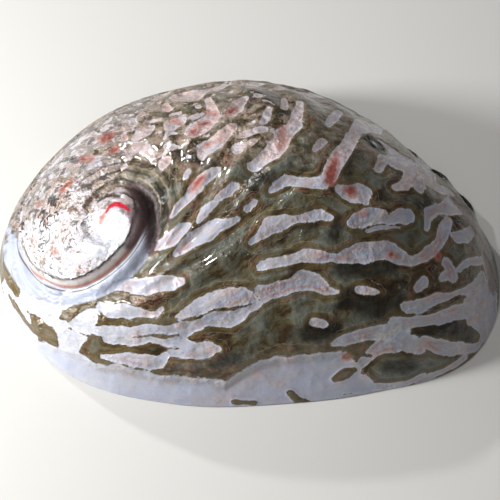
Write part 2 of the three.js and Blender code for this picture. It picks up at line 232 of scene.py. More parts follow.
# Markings, read off the shell: each stroke is a row of (x, y, half width) in millimetres in plan.
PALE_STREAKS = [
    [(80, -22, 3.2), (79, -29, 4.7), (76, -35, 4.1), (72, -41, 3.3), (68, -44, 1.8)],
    [(69, -45, 1.3), (65, -48, 1.2), (59, -51, 1.1), (54, -53, 1.3)],
    [(78, -14, 3.2), (80, -20, 3.1)],
    [(-76, -28, 2.2), (-70, -35, 2)],
    [(-61, -35, 2.5), (-58, -40, 2.4), (-58, -44, 2)],
    [(-80, -17, 1.7), (-76, -26, 3.7), (-71, -33, 3)],
    [(-72, -27, 3), (-67, -32, 2.3), (-62, -37, 2.1)],
    [(32, -58, 1.7), (38, -56, 1.7), (45, -55, 1.4), (50, -54, 1.1), (55, -52, 1.2)],
    [(26, -59, 1.2), (30, -57, 2.2)],
    [(70, -32, 2.7), (74, -29, 3.8), (77, -24, 4.1)],
    [(71, -36, 2.2), (75, -36, 1.9)],
    [(62, -25, 2.2), (64, -28, 2.2)],
    [(1, 44, 2.4), (4, 46, 2.4)],
    [(11, 41, 2.4), (14, 42, 2.4)],
    [(19, 42, 2.4), (23, 42, 2.4), (26, 42, 2.4)],
    [(7, 24, 1.2), (6, 19, 1.5), (5, 16, 1.3)],
    [(-1, 11, 1.9), (2, 12, 1.6), (5, 13, 1.4)],
    [(12, 33, 1), (12, 26, 1.5)],
    [
        (17, 30, 1.3), (16, 22, 1.9), (15, 16, 2.4), (12, 12, 3), (10, 7, 3.1), (8, 3, 3.1), (4, -1, 2.3),
        (2, -3, 2.1),
    ],
    [(21, 5, 1), (24, 10, 1.2)],
    [(30, 30, 1.5), (28, 25, 1.9), (26, 19, 1.1)],
    [(-31, 38, 1.6), (-29, 42, 2.8), (-27, 42, 1.7)],
    [(-21, 37, 5.2), (-19, 36, 5)],
    [(-14, 39, 2), (-12, 41, 3.2), (-10, 42, 2.4)],
    [(-8, 43, 1.6), (-6, 45, 2.8), (-3, 49, 2)],
    [
        (-13, 32, 1.1), (-12, 28, 1.6), (-11, 23, 2), (-12, 19, 3), (-15, 16, 3.6), (-17, 14, 3.1),
        (-17, 12, 1.4),
    ],
    [(-5, 21, 1.4), (-4, 24, 2.4), (-3, 28, 2.4), (-1, 32, 1.5)],
    [(-14, 2, 1.2), (-13, 5, 2.7), (-11, 7, 3.1), (-9, 9, 2.6), (-7, 12, 2.5), (-5, 15, 1.8)],
    [(-3, 5, 2.5), (-3, 4, 2)],
    [(-42, 30, 1.3), (-39, 26, 3), (-37, 22, 2)],
    [(-46, 24, 2.1), (-43, 21, 2.6), (-41, 17, 2.6), (-39, 15, 1.3)],
    [(-35, 15, 2), (-33, 17, 3.2), (-31, 18, 1.6)],
    [(-40, 9, 1.2), (-37, 10, 2.9), (-34, 10, 2.7), (-31, 7, 2.2), (-30, 4, 0.9)],
    [(-27, -1, 0.9), (-26, 2, 2.1), (-25, 3, 1.3)],
    [(-27, 31, 1.5), (-26, 28, 1.8)],
    [(-26, 17, 1), (-24, 19, 3.2), (-22, 20, 2.6)],
    [(-18, 21, 1.2), (-17, 21, 1.5)],
    [
        (7, -12, 0.8), (9, -10, 1.6), (12, -8, 1.9), (16, -9, 2), (20, -9, 2.2), (23, -9, 2.1),
        (25, -6, 2.6), (26, -3, 2.7), (29, 4, 2.7), (31, 8, 2.5), (34, 16, 2.2), (38, 25, 3.7),
        (41, 29, 4.8), (45, 34, 1),
    ],
    [(28, -10, 1.7), (32, -11, 3.3), (35, -10, 3.6), (36, -13, 1.5)],
    [(0, -18, 1.1), (2, -16, 1.1)],
    [(45, 15, 4.8), (48, 10, 5.6), (52, 9, 5.6), (52, 3, 2.6), (49, -3, 1.9), (46, -5, 1.5)],
    [(57, 24, 4), (59, 19, 4.8), (58, 8, 4.8)],
    [(54, 0, 3.6), (54, -1, 2.6)],
    [(46, 18, 1.2), (43, 7, 1.8), (41, 1, 1.4)],
    [(57, 4, 1.9), (61, 5, 2.8), (66, 7, 2.4)],
    [(56, -16, 0.9), (57, -10, 2.2), (61, -6, 1.6), (64, -2, 1.9), (66, 3, 1.4)],
    [(61, -6, 2.1), (67, -2, 2.2), (71, 1, 1.5)],
    [(66, -14, 2.1), (69, -12, 2.3), (73, -6, 1.7)],
    [(66, -25, 1), (69, -21, 1.4), (77, -14, 1.3)],
    [(60, -30, 1.4), (63, -27, 1.8)],
    [(52, -35, 1.4), (54, -33, 2)],
    [
        (1, -28, 0.7), (4, -26, 1.4), (7, -23, 2.8), (11, -22, 2.2), (15, -21, 1.1), (19, -20, 1.7),
        (22, -19, 1.9), (25, -20, 1.2),
    ],
    [
        (32, -21, 1.8), (34, -20, 2.8), (37, -18, 2.9), (41, -17, 2.5), (43, -18, 1.5), (46, -16, 2.1),
        (48, -15, 2.9), (50, -14, 2.3),
    ],
    [(36, -23, 0.5), (40, -21, 0.7), (47, -19, 0.5)],
    [
        (4, -34, 1.4), (8, -33, 1.7), (13, -32, 1.4), (17, -31, 2.1), (21, -31, 2.2), (25, -31, 1.1),
        (28, -31, 1.7), (31, -30, 2.4), (35, -29, 3.3), (39, -28, 3), (43, -27, 3), (47, -28, 2.6),
        (50, -29, 1.5), (54, -26, 1.9), (57, -23, 2), (60, -19, 1.8), (62, -14, 2.2), (64, -9, 1.7),
    ],
    [
        (4, -40, 1.9), (7, -40, 2.4), (11, -39, 2.4), (14, -38, 2.2), (17, -37, 3.2), (19, -37, 3),
        (22, -38, 2.4), (24, -39, 1.8), (27, -39, 0.9),
    ],
    [(34, -38, 1.4), (36, -38, 1.5), (39, -38, 0.8)],
    [(-14, 3, 1.8), (-12, 7, 2.8), (-8, 10, 2.4), (-5, 15, 1.8)],
    [
        (-23, -18, 0.9), (-21, -15, 1.5), (-18, -13, 1.8), (-16, -10, 2.4), (-14, -7, 2.4), (-10, -4, 1.7),
        (-9, -3, 0.8),
    ],
    [(-19, -5, 1), (-18, -3, 1)],
    [(-15, -21, 1), (-13, -18, 2), (-10, -16, 1.2)],
    [(-9, -14, 1.2), (-6, -12, 1.8), (-4, -10, 1.3)],
    [(-29, -27, 0.7), (-27, -26, 2.2), (-23, -25, 2.7), (-20, -23, 2.1), (-18, -22, 1.2)],
    [
        (-22, -30, 0.8), (-19, -28, 1.8), (-16, -26, 2.6), (-13, -25, 2.9), (-10, -23, 2.5),
        (-6, -22, 1.5), (-3, -21, 0.9),
    ],
    [
        (-44, -36, 0.5), (-41, -35, 1.3), (-36, -36, 2.3), (-31, -37, 2.7), (-27, -37, 2.5),
        (-23, -37, 2.4), (-20, -37, 1.2),
    ],
    [(-46, -39, 1.4), (-42, -41, 2.2), (-37, -42, 2.5), (-33, -43, 1.4), (-28, -44, 1.2), (-26, -43, 0.8)],
    [(-21, -45, 0.9), (-14, -43, 2.6), (-8, -42, 3.6), (-2, -41, 2.8), (3, -42, 1.2)],
    [
        (-48, -44, 0.9), (-44, -45, 1.8), (-39, -46, 1.8), (-34, -47, 2), (-30, -47, 1.9), (-25, -48, 2.5),
        (-20, -48, 2.7), (-16, -47, 2.2), (-12, -46, 2.3), (-8, -46, 2.8), (-5, -46, 2.9), (-1, -44, 2.4),
        (2, -43, 1.6), (4, -42, 1.3), (7, -41, 1.1),
    ],
    [
        (-44, -47, 0.9), (-39, -48, 1.6), (-34, -49, 1.4), (-30, -49, 0.7), (-25, -50, 1.3),
        (-21, -50, 1.7), (-16, -52, 2.5), (-12, -52, 2.6), (-9, -52, 1.2),
    ],
    [
        (-45, -50, 0.8), (-41, -51, 1.3), (-36, -52, 2.3), (-31, -53, 2.5), (-27, -53, 1.5), (-24, -52, 1),
        (-17, -53, 1.1), (-12, -53, 1.1),
    ],
    [(-30, -54, 1.2), (-27, -54, 1.5), (-25, -53, 0.8)],
    [(20, -46, 1.3), (23, -46, 1.5)],
    [
        (26, -50, 0.6), (29, -49, 1.9), (33, -48, 2.1), (37, -47, 2.4), (42, -46, 2.3), (45, -45, 2.5),
        (48, -44, 2.7),
    ],
    [
        (48, -40, 1.6), (51, -40, 2.6), (55, -38, 2.4), (59, -36, 2.6), (63, -34, 1.5), (67, -31, 1.5),
        (72, -27, 2), (76, -21, 2.6),
    ],
    [
        (45, -44, 2.1), (50, -43, 2), (55, -42, 1.9), (60, -40, 2.6), (65, -37, 2.5), (70, -34, 2.5),
        (75, -33, 3.9), (77, -34, 2.4),
    ],
    [(55, -46, 2.3), (60, -46, 2.6), (65, -45, 2.5), (69, -43, 1.9)],
    [(53, -48, 2.9), (49, -47, 3.7), (44, -48, 3.6), (39, -50, 2.1), (35, -53, 1.7)],
    [(-55, -45, 3.1), (-53, -43, 4), (-49, -41, 3.1)],
    [(-67, -32, 2.2), (-59, -34, 2.8), (-50, -35, 2.5)],
    [(-62, -36, 1.8), (-58, -41, 2.8), (-57, -44, 2.7)],
    [(-67, 4, 6.1), (-61, 6, 6.6), (-53, 6, 4.7), (-47, 6, 3.6), (-41, 5, 1.6)],
    [(-52, 24, 2.2), (-48, 17, 3.6), (-52, 15, 3.3), (-58, 18, 3.5)],
    [(-70, 1, 5.6), (-65, 2, 5.2)],
    [(-47, 1, 2), (-51, 1, 3.3), (-60, 0, 3.8)],
    [(-56, 23, 4.8), (-61, 18, 4.8), (-65, 13, 4)],
]
OLIVE_GAPS = [
    [(-78, -22, 1), (-75, -27, 1.3), (-71, -33, 1.2), (-68, -37, 1.1)],
    [(-59, -38, 0.4), (-56, -38, 1.7), (-53, -37, 1.2), (-49, -37, 1.1), (-45, -36, 0.4)],
    [(-63, -39, 1.5), (-65, -38, 1)],
    [(-67, -36, 1)],
    [(-56, -41, 0.3), (-53, -43, 0.2), (-49, -45, 0.5)],
    [(-48, -45, 0.6), (-45, -47, 0.8), (-44, -48, 0.4)],
    [(-4, -61, 1.1), (2, -61, 1.1)],
    [(13, -59, 1.1), (16, -60, 1.5), (20, -60, 0.2)],
    [(27, -56, 1.3), (30, -55, 2.2), (33, -54, 0.9)],
    [(30, -58, 0), (37, -57, 0)],
    [
        (36, -54, 0.6), (39, -53, 1.8), (44, -52, 2.9), (50, -51, 3.7), (54, -50, 3), (58, -50, 2.3),
        (62, -48, 1.2),
    ],
    [(51, -45, 1), (55, -44, 1.4), (60, -43, 2.3), (65, -41, 2.9), (70, -40, 2.9), (73, -39, 1.9)],
    [(29, -51, 0.6), (32, -50, 0.9), (35, -49, 0.6)],
    [(30, -52, 1), (33, -51, 0.9), (38, -51, 0.5)],
    [(48, -42, 0.5), (53, -41, 0.2), (58, -38, 0.5), (63, -35, 0.6), (66, -33, 1.1), (69, -31, 0.5)],
    [(-23, -45, 0.2), (-17, -46, 0.2), (-10, -44, 0.5), (-4, -44, 0.5), (1, -43, 0.3), (4, -42, 0.3)],
    [(-45, -42, 0.2), (-40, -44, 0.5), (-36, -45, 0.9), (-30, -45, 0.7), (-23, -45, 0.2)],
    [(-37, -48, 0.2), (-30, -48, 0.5), (-25, -49, 0.7), (-21, -49, 0.3)],
    [
        (-46, -48, 0.2), (-41, -50, 0.2), (-36, -50, 0.2), (-32, -50, 0.5), (-30, -50, 0.8),
        (-26, -51, 0.4), (-24, -52, 0.1),
    ],
    [(-13, -49, 1.1), (-10, -49, 1.8), (-8, -50, 1.2)],
]
RED_CORES = [
    [(11, 15, 0.4), (11, 8, 0.4), (10, 5, 0.4)],
    [(25, -7, 0.4), (26, -3, 1), (28, 4, 0.5)],
    [(-17, 14, 1.5)],
    [(-16, 17, 0.6), (-13, 18, 0.9)],
    [(-13, 24, 0.6), (-10, 22, 0.6)],
    [(-6, 22, 0.9), (-4, 25, 0.7)],
    [(-13, 7, 0.6), (-12, 8, 0.6)],
    [(-9, 9, 0.3)],
    [(-17, -10, 0.7), (-16, -8, 1.2), (-14, -6, 0.6)],
    [(-57, -1, 0.8), (-55, 1, 0.8)],
    [(-24, 21, 0.6), (-22, 19, 0.6)],
    [(34, -18, 0.3), (36, -17, 0.5)],
    [(44, -28, 0.3), (46, -28, 0.4)],
    [(-39, 16, 0.6)],
    [(-52, 10, 0.8), (-49, 9, 0.8)],
    [(-65, -2, 0.8)],
    [(-58, -21, 0.6)],
    [(30, -52, 0.6), (31, -52, 0.5)],
    [(32, -10, 1.8)],
    [(25, -8, 1.2), (26, -4, 1.5), (27, 1, 0.8)],
    [(59, -24, 1)],
    [(44, -28, 0.9)],
    [(-45, 18, 2.4)],
    [(-42, 11, 1.4)],
]
# Dark pockets in the olive layers; the stroke beside the small dome is painted shade in the crevice.
DARK_POCKETS_AND_SHADE = [
    [(1, 31, 1.1), (5, 36, 3.2), (8, 32, 2.8), (7, 27, 0.8)],
    [(-22, 5, 1.3), (-18, 2, 1.6), (-14, 2, 1.3)],
    [(-15, 1, 1.1), (-10, -2, 1)],
    [(-53, 31, 0.7), (-51, 24, 0.6), (-48, 19, 0.7)],
    [(-57, 12, 1.4), (-56, 16, 2), (-53, 17, 1.1)],
    [(-57, 28, 2.4)],
    [(29, -33, 2.4), (37, -33, 2.8), (45, -31, 1.4)],
    [(31, -40, 3), (39, -41, 3.9), (45, -39, 2.6)],
    [(19, -48, 2.8), (24, -47, 2.5)],
    [(-10, -55, 0.9), (-6, -54, 1.5), (-3, -54, 0.9)],
    [(35, 7, 1), (32, 2, 1.3), (31, -4, 0.9)],
    [(14, -24, 0.4), (18, -23, 0.6), (21, -22, 0.7)],
    # Painted shade in the crevice beside the small dome.
    [(-30, -23, 1.9), (-27, -16, 3.2), (-28, -9, 1.9)],
    [(28, -19, 0.9), (26, -25, 1.3)],
    [(5, -7, 1.9), (1, -8, 1.9)],
    [(54, -9, 1.2), (58, -4, 0.9)],
    [(50, -46, 1), (63, -41, 1.7), (70, -40, 1.6)],
    [(44, -52, 1.2), (51, -51, 1.4)],
]
BROWN_ARC = [
    [
        (-50, -9, 0.5), (-48.5, -6.5, 0.4), (-47, -4.5, 0.4), (-44.5, -3.5, 0.4), (-41.5, -3, 0.5),
        (-38.5, -4, 0.7), (-35.5, -7, 1), (-33, -10.5, 1.1), (-31.5, -13, 1), (-31, -16.5, 0.9),
    ],
    [(-46, -8.5, 0.3), (-44, -8, 0.3), (-41.5, -8, 0.3), (-39, -9.5, 0.3)],
    [(-47, -6, 0.7)],
]
CRIMSON_ARC = [
    [
        (-42.5, -14, 0.3), (-41.5, -12.5, 0.6), (-40, -12, 0.8), (-38.5, -12.5, 0.8), (-37, -13.5, 0.6),
        (-35.5, -15, 0.3),
    ],
]
ORANGE_LEG = [
    [(-42.5, -14, 0.5), (-43.5, -15, 0.8), (-44.5, -16.5, 0.6)],
]
# Purple-brown side of the small dome: partly its own colour, partly painted shade on the side away from the
# key light.
PURPLE_SHADED_SIDE = [
    [(-37, -14, 1), (-34, -16, 1.9), (-33, -20, 1.9), (-34, -23, 1.5), (-36, -25, 0.9)],
]
RUSTY_MARGIN = [
    [(68, 3, 2.4), (72, -1, 3.2), (76, -7, 3.2), (79, -12, 3.2), (80, -19, 2.4)],
]
BUBBLES = [
    [
        (-33, -26, 0.4), (-30, -28, 0.6), (-25, -30, 0.6), (-20, -30, 0.7), (-14, -32, 0.6), (-8, -31, 0.6),
        (-3, -31, 0.6), (1, -31, 0.3),
    ],
    [(-25, -41, 0.9)],
    [(-13, -42, 0.4)],
    [(38, -36, 0.9)],
]

# Upper edge of the pale band above the rim, from the left, in plan.
RIM_BAND_EDGE = [
    (-80, -21), (-73, -31), (-67, -39), (-61, -43), (-52, -48), (-47, -51), (-42, -52), (-38, -53),
    (-27, -56), (-15, -57), (-7, -58), (-2, -56), (4, -54), (10, -53), (22, -52), (30, -51), (44, -57),
]
BAND_DEPTH_LIMIT = 6
BAND_PAST_END = 14

# Marks whose depth is stored on the vertices, by the name that the materials read.
MARKS = {
    "red_depth": RED_CORES,
    "pocket_and_shade_depth": DARK_POCKETS_AND_SHADE,
    "brown_arc": BROWN_ARC,
    "crimson_arc": CRIMSON_ARC,
    "orange_leg": ORANGE_LEG,
    "purple_shaded_side": PURPLE_SHADED_SIDE,
    "margin_depth": RUSTY_MARGIN,
    "bubble_depth": BUBBLES,
}


def smooth(start, end, x):
    """Ease from 0 at start to 1 at end."""
    t = np.clip((x - start) / (end - start), 0.0, 1.0)
    return t * t * (3 - 2 * t)


def over_turns(limits, turn):
    """Ease from 0 to 1 between two turns given in degrees."""
    return smooth(*np.radians(limits), turn)


def along(table, place, closed):
    """Value of a table at a place between its entries, on a curve through them."""
    table = np.asarray(table, float)
    count = len(table)
    held = place if closed else np.clip(place, 0, count - 1)
    index = np.floor(held).astype(int)

    def pick(step):
        wanted = index + step
        return table[wanted % count] if closed else table[np.clip(wanted, 0, count - 1)]

    before, here, following, after = pick(-1), pick(0), pick(1), pick(2)
    t = held - index
    slope = (following - before) * t
    bend = (2 * before - 5 * here + 4 * following - after) * t**2
    twist = (3 * here - before - 3 * following + after) * t**3
    return 0.5 * (2 * here + slope + bend + twist)


def around(table, angle):
    """Value of a table whose entries go once round the circle."""
    return along(table, np.asarray(angle) / (2 * math.pi) * len(table), True)


def dome_point(reach, angle, inset=0.0, height=CROWN_HEIGHT, foot=0.0):
    """Points of a plain dome. reach runs from 0 at the crown to 1 at the rim."""
    slope = np.radians(around(FLANK_SLOPES, angle))
    out = (around(RIM_RADII, angle) - inset) * np.sin(reach * slope) / np.sin(slope)
    rise = (np.cos(reach * slope) - np.cos(slope)) / (1 - np.cos(slope))
    x = CROWN[0] + out * np.cos(angle)
    y = CROWN[1] + out * np.sin(angle)
    return np.stack([x, y, foot + (height - foot) * rise], -1)


def unit(vectors):
    """The same directions with length 1."""
    return vectors / np.linalg.norm(vectors, axis=-1, keepdims=True)


def outer_dome(u, v):
    """Points of the plain outer dome over a disc of radius 1."""
    return dome_point(np.hypot(u, v), np.arctan2(v, u))


def outer_normal(u, v):
    """Outward directions of the plain outer dome."""
    step = 0.001
    across = outer_dome(u + step, v) - outer_dome(u - step, v)
    up = outer_dome(u, v + step) - outer_dome(u, v - step)
    return unit(np.cross(across, up))


SPIRE_EAST = unit(np.array([1.0, 0, 0]) - SPIRE_AXIS[0] * SPIRE_AXIS)
SPIRE_NORTH = np.cross(SPIRE_AXIS, SPIRE_EAST)


def radius_at(radii, start, turn):
    """Distance from the axis at a turn, from a table of radii."""
    return np.exp(along(np.log(radii), (np.degrees(turn) - start) / TABLE_STEP, False))


def suture_radius(turn):
    """Distance of the suture from the spire's axis."""
    return radius_at(SUTURE_RADII, SUTURE_START, turn)


def ledge_radius(turn):
    """Distance of the ledge's outer border from the spire's axis."""
    return radius_at(LEDGE_RADII, 0, turn)


def spire_place(points):
    """Distance from the spire's axis, and clockwise angle about it."""
    offset = points - APEX
    east = offset @ SPIRE_EAST
    north = offset @ SPIRE_NORTH
    return np.hypot(east, north), -np.arctan2(north, east)


def whorl_relief(radius, turn):
    """Swell of the whorls, and of the small dome at their centre."""
    one_turn = 2 * math.pi
    whorl_turn = turn - one_turn
    found = suture_radius(whorl_turn) >= radius
    for candidate in (turn, turn + one_turn):
        fits = ~found & (suture_radius(candidate) >= radius)
        whorl_turn = np.where(fits, candidate, whorl_turn)
        found |= fits
    outside = np.maximum(suture_radius(whorl_turn), radius)
    inside = suture_radius(whorl_turn - one_turn)
    width = np.maximum(outside - inside, 1)
    across = np.clip((radius - inside) / width, 0, 1)
    rounding = np.sin(math.pi * across**WHORL_LEAN) ** WHORL_FULLNESS
    merged = over_turns(WHORL_MERGES, whorl_turn)
    worn = smooth(*WORN_WHORLS, radius)
    whorl = WHORL_ROUNDING * np.minimum(width, WHORL_WIDTH_LIMIT) * rounding * (1 - merged) * worn
    return whorl + DOMELET_HEIGHT * np.maximum(0, 1 - (radius / DOMELET_RADIUS) ** 2)


def groove(offset, inner, outer):
    """Groove profile, steeper on the side towards the axis."""
    return np.exp(-((offset / np.where(offset < 0, inner, outer)) ** 2))


def crevice_relief(radius, turn):
    """Deep crevice between the small dome and the body, along the ledge's border."""
    opening = over_turns(CREVICE_OPENS, turn)
    closing = 1 - over_turns(CREVICE_CLOSES, turn)
    offset = radius - ledge_radius(np.maximum(turn, 0))
    return -CREVICE_DEPTH * opening * closing * groove(offset, CREVICE_INNER_WIDTH, CREVICE_OUTER_WIDTH)


def crevice_shade(radius, turn):
    """1 in the shade between the small dome and the body."""
    begin = over_turns(SHADE_BEGINS, turn)
    end = 1 - over_turns(SHADE_ENDS, turn)
    return begin * end * groove(radius - ledge_radius(np.maximum(turn, 0)), *SHADE_WIDTHS)


def suture_relief(radius, turn):
    """Fine line of the suture, between the spire and the ledge."""
    relief = 0
    for candidate in (turn, turn + 2 * math.pi):
        begin = over_turns(SUTURE_BEGINS, candidate)
        fade = 1 - over_turns(SUTURE_FADES, candidate)
        line = groove(radius - suture_radius(candidate), SUTURE_WIDTH, SUTURE_WIDTH)
        relief = relief - SUTURE_DEPTH * begin * fade * line
    return relief


RIM_ANGLES = np.linspace(0, 2 * math.pi, 721)[:-1]
RIM_FROM_APEX = dome_point(1.0, RIM_ANGLES)[:, :2] - APEX[:2]
RIM_DIRECTIONS = np.arctan2(RIM_FROM_APEX[:, 1], RIM_FROM_APEX[:, 0])
RIM_ORDER = np.argsort(RIM_DIRECTIONS)


def rim_from_apex(direction):
    """Distance from the apex to the final rim in a plan direction."""
    distances = np.linalg.norm(RIM_FROM_APEX, axis=1)[RIM_ORDER]
    return np.interp(direction, RIM_DIRECTIONS[RIM_ORDER], distances, period=2 * math.pi)


def former_lip(points):
    """The former lip that a point lies on: its size beside the final rim, and the place along it."""
    offset = points[:, :2] - APEX[:2]
    distance = np.linalg.norm(offset, axis=1)
    direction = np.arctan2(offset[:, 1], offset[:, 0])
    direction = np.where(direction < math.radians(LIP_START), direction + 2 * math.pi, direction)
    low = np.full(len(points), EARLIEST_LIP)
    high = np.full(len(points), LATEST_LIP)
    for _ in range(LIP_SEARCH_STEPS):
        size = (low + high) / 2
        short = size * rim_from_apex(direction + np.log(size) / GROWTH_RATE) < distance
        low = np.where(short, size, low)
        high = np.where(short, high, size)
    return low, direction + np.log(low) / GROWTH_RATE


def fold_relief(points):
    """Low folds left by the growing lip, fading out on the spire."""
    size, place = former_lip(points)
    on_body = over_turns(FOLD_BEGINS, place)
    settled = smooth(*FOLD_SETTLES, size)
    return FOLD_HEIGHT * on_body * settled * np.sin(2 * math.pi * np.log(size) / FOLD_STEP)


def pore_list():
    """The pores, from the right end back towards the spire, each with its own axes."""
    count = OPEN_PORES + SEALED_PORES + 1
    angle = np.radians(PORE_FIRST_DIRECTION + PORE_DIRECTION_STEP * np.arange(count))
    reach = PORE_FIRST_REACH - PORE_REACH_STEP * np.arange(count)
    u, v = reach * np.cos(angle), reach * np.sin(angle)
    centres, ups = outer_dome(u, v), outer_normal(u, v)
    outward = 1 + PORE_MOUND_SHIFT / reach
    mounds = outer_dome(u * outward, v * outward)
    pores = []
    for i in range(count - 1):
        row = centres[i + 1] - centres[i]
        row = unit(row - row.dot(ups[i]) * ups[i])
        length = PORE_LENGTH - PORE_LENGTH_STEP * min(i, OPEN_PORES)
        pores.append({
            "centre": centres[i],
            "mound": mounds[i],
            "up": ups[i],
            "along": row,
            "side": np.cross(row, ups[i]),
            "length": length,
            "open": i < OPEN_PORES,
        })
    return pores


PORES = pore_list()


def pore_relief(points):
    """Mounds round the pores, and dimples on the sealed ones."""
    relief = np.zeros(len(points))
    for pore in PORES:
        fit = pore["length"] / PORE_LENGTH
        from_mound = np.linalg.norm(points - pore["mound"], axis=1)
        relief += PORE_MOUND * fit**2 * np.exp(-((from_mound / (PORE_MOUND_RADIUS * fit)) ** 2))
        if not pore["open"]:
            from_pore = np.linalg.norm(points - pore["centre"], axis=1)
            relief -= SEALED_DIMPLE * np.exp(-((from_pore / SEALED_DIMPLE_RADIUS) ** 2))
    return relief


def outer_points(u, v):
    """Points of the outside over a disc of radius 1."""
    points = outer_dome(u, v)
    held = 1 - smooth(*OUTER_RELIEF_ENDS, np.hypot(u, v))
    radius, turn = spire_place(points)
    spire = whorl_relief(radius, turn) + crevice_relief(radius, turn) + suture_relief(radius, turn)
    relief = spire + fold_relief(points) + pore_relief(points)
    return points + outer_normal(u, v) * (relief * held - SKIN_INSET)[:, None]


def inner_points(u, v):
    """Points of the inside, which follows the outside more softly."""
    reach, angle = np.hypot(u, v), np.arctan2(v, u)
    width = around(RIM_WIDTHS, angle)
    foot = EDGE_CHAMFER + SHELF_RISE * (width - RIM_WIDTHS[0])
    points = dome_point(reach, angle, width, CROWN_HEIGHT - WALL_AT_CROWN, foot)
    held = 1 - smooth(*INNER_RELIEF_ENDS, reach)
    radius, turn = spire_place(outer_dome(u, v))
    relief = INSIDE_SHARE * held * (whorl_relief(radius, turn) + crevice_relief(radius, turn))
    return points + outer_normal(u, v) * relief[:, None]


def disc_place(x, y):
    """Lays a square of cells on the unit disc, its lines crowded over the spire."""
    def crowd(t, amount, centre):
        return t - amount * (np.sin(math.pi * (t - centre)) - math.sin(math.pi * centre))

    a = crowd(x, CROWDING[0], CROWDED[0])
    b = crowd(y, CROWDING[1], CROWDED[1])
    return a * np.sqrt(1 - b**2 / 2), b * np.sqrt(1 - a**2 / 2)


def coordinates(vertices):
    """Positions of bmesh vertices, in millimetres."""
    return np.array([vertex.co for vertex in vertices], float).reshape(-1, 3) / MM


def place_vertices(vertices, points):
    """Moves bmesh vertices to points given in millimetres."""
    for vertex, point in zip(vertices, (points * MM).tolist()):
        vertex.co = point


def add_disc(bm, cells, place, reach_limit, side, layer, dome):
    """A square grid laid on the disc and lifted onto the outside or the inside. Gives its edge loop."""
    vertices = bmesh.ops.create_grid(bm, x_segments=cells, y_segments=cells, size=1.0)["verts"]
    flat = coordinates(vertices) * MM
    u, v = disc_place(flat[:, 0], flat[:, 1])
    u, v = u * reach_limit, v * reach_limit
    place_vertices(vertices, place(u, v))
    for vertex, point in zip(vertices, outer_dome(u, v).tolist()):
        vertex[layer] = side
        vertex[dome] = point
    mine = set(vertices)
    return [edge for edge in bm.edges if edge.is_boundary and edge.verts[0] in mine]


def spread_loop(bm, loop, places, side, layer):
    """Extrudes an edge loop once for each function in places, which gives the new points from the old."""
    for place in places:
        made = bmesh.ops.extrude_edge_only(bm, edges=loop)["geom"]
        vertices = [item for item in made if isinstance(item, bmesh.types.BMVert)]
        place_vertices(vertices, place(coordinates(vertices)))
        for vertex in vertices:
            vertex[layer] = side
        loop = [item for item in made if isinstance(item, bmesh.types.BMEdge)]
    return loop


def rim_angle(points):
    """Direction of points seen from the crown's foot."""
    return np.arctan2(points[:, 1] - CROWN[1], points[:, 0] - CROWN[0])


def edge_places():
    """Places of the loops that round the rim, and of those that run in along its flat edge and shelf."""
    def rounded(t):
        def place(points):
            angle = rim_angle(points)
            top = outer_points(EDGE_REACH * np.cos(angle), EDGE_REACH * np.sin(angle))
            corner = dome_point(1.0, angle, SKIN_INSET)
            flat = dome_point(1.0, angle, ROUNDED_EDGE)
            return (1 - t) ** 2 * top + 2 * t * (1 - t) * corner + t**2 * flat
        return place

    def inward(t):
        def place(points):
            angle = rim_angle(points)
            start = dome_point(1.0, angle, GROUND_EDGE)
            end = inner_points(np.cos(angle), np.sin(angle))
            return start + (end - start) * t
        return place

    return [rounded(t) for t in ROUNDING_STEPS], [inward(t) for t in INWARD_STEPS]


def oval_share(points, pore, size):
    """How far out points are in a pore's oval, 1 on its edge, and their offset from its axis."""
    offset = points - pore["centre"]
    half = pore["length"] / 2 * size
    a = offset @ pore["along"]
    b = offset @ pore["side"]
    share = np.hypot(a / half, b / (half * PORE_SLIMNESS))
    return share, a[:, None] * pore["along"] + b[:, None] * pore["side"], np.linalg.norm(offset, axis=1)


def open_hole(bm, faces, pore, size):
    """Removes the faces in a pore's oval and draws the edge of the hole onto the oval."""
    centres = np.array([face.calc_center_median() for face in faces]) / MM
    share, _, distance = oval_share(centres, pore, size)
    inside = [faces[i] for i in np.nonzero((share < 1) & (distance < PORE_REACH_OF_WALL))[0]]
    gone = set(inside)
    edges = {edge for face in inside for edge in face.edges if any(f not in gone for f in edge.link_faces)}
    bmesh.ops.delete(bm, geom=inside, context="FACES")
    edges = [edge for edge in edges if edge.is_valid]
    vertices = list({vertex for edge in edges for vertex in edge.verts})
    points = coordinates(vertices)
    share, offset, _ = oval_share(points, pore, size)
    place_vertices(vertices, points + offset * (1 / share - 1)[:, None])
    return edges


def shrink_to(pore, size, depth):
    """Place of a loop drawn in towards a pore's axis and down into the wall."""
    def place(points):
        share, offset, _ = oval_share(points, pore, 1.0)
        return points + offset * (size / share - 1)[:, None] - depth * pore["up"]
    return place


def cut_pores(bm, layer):
    """Cuts the open pores through the wall, with a rounded lip outside."""
    for pore in PORES[:OPEN_PORES]:
        bm.faces.ensure_lookup_table()
        centre = Vector(pore["centre"]) * MM
        reach = PORE_REACH_OF_WALL * MM
        near = [face for face in bm.faces if (face.calc_center_median() - centre).length < reach]
        outside = [face for face in near if face.verts[0][layer] == OUTSIDE]
        inside = [face for face in near if face.verts[0][layer] == INSIDE]
        outer_loop = open_hole(bm, outside, pore, PORE_LIP_SIZE)
        inner_loop = open_hole(bm, inside, pore, 1.0)
        places = [shrink_to(pore, size, depth) for size, depth in PORE_LIP_STEPS]
        outer_loop = spread_loop(bm, outer_loop, places, PORE_WALL, layer)
        bmesh.ops.bridge_loops(bm, edges=outer_loop + inner_loop)


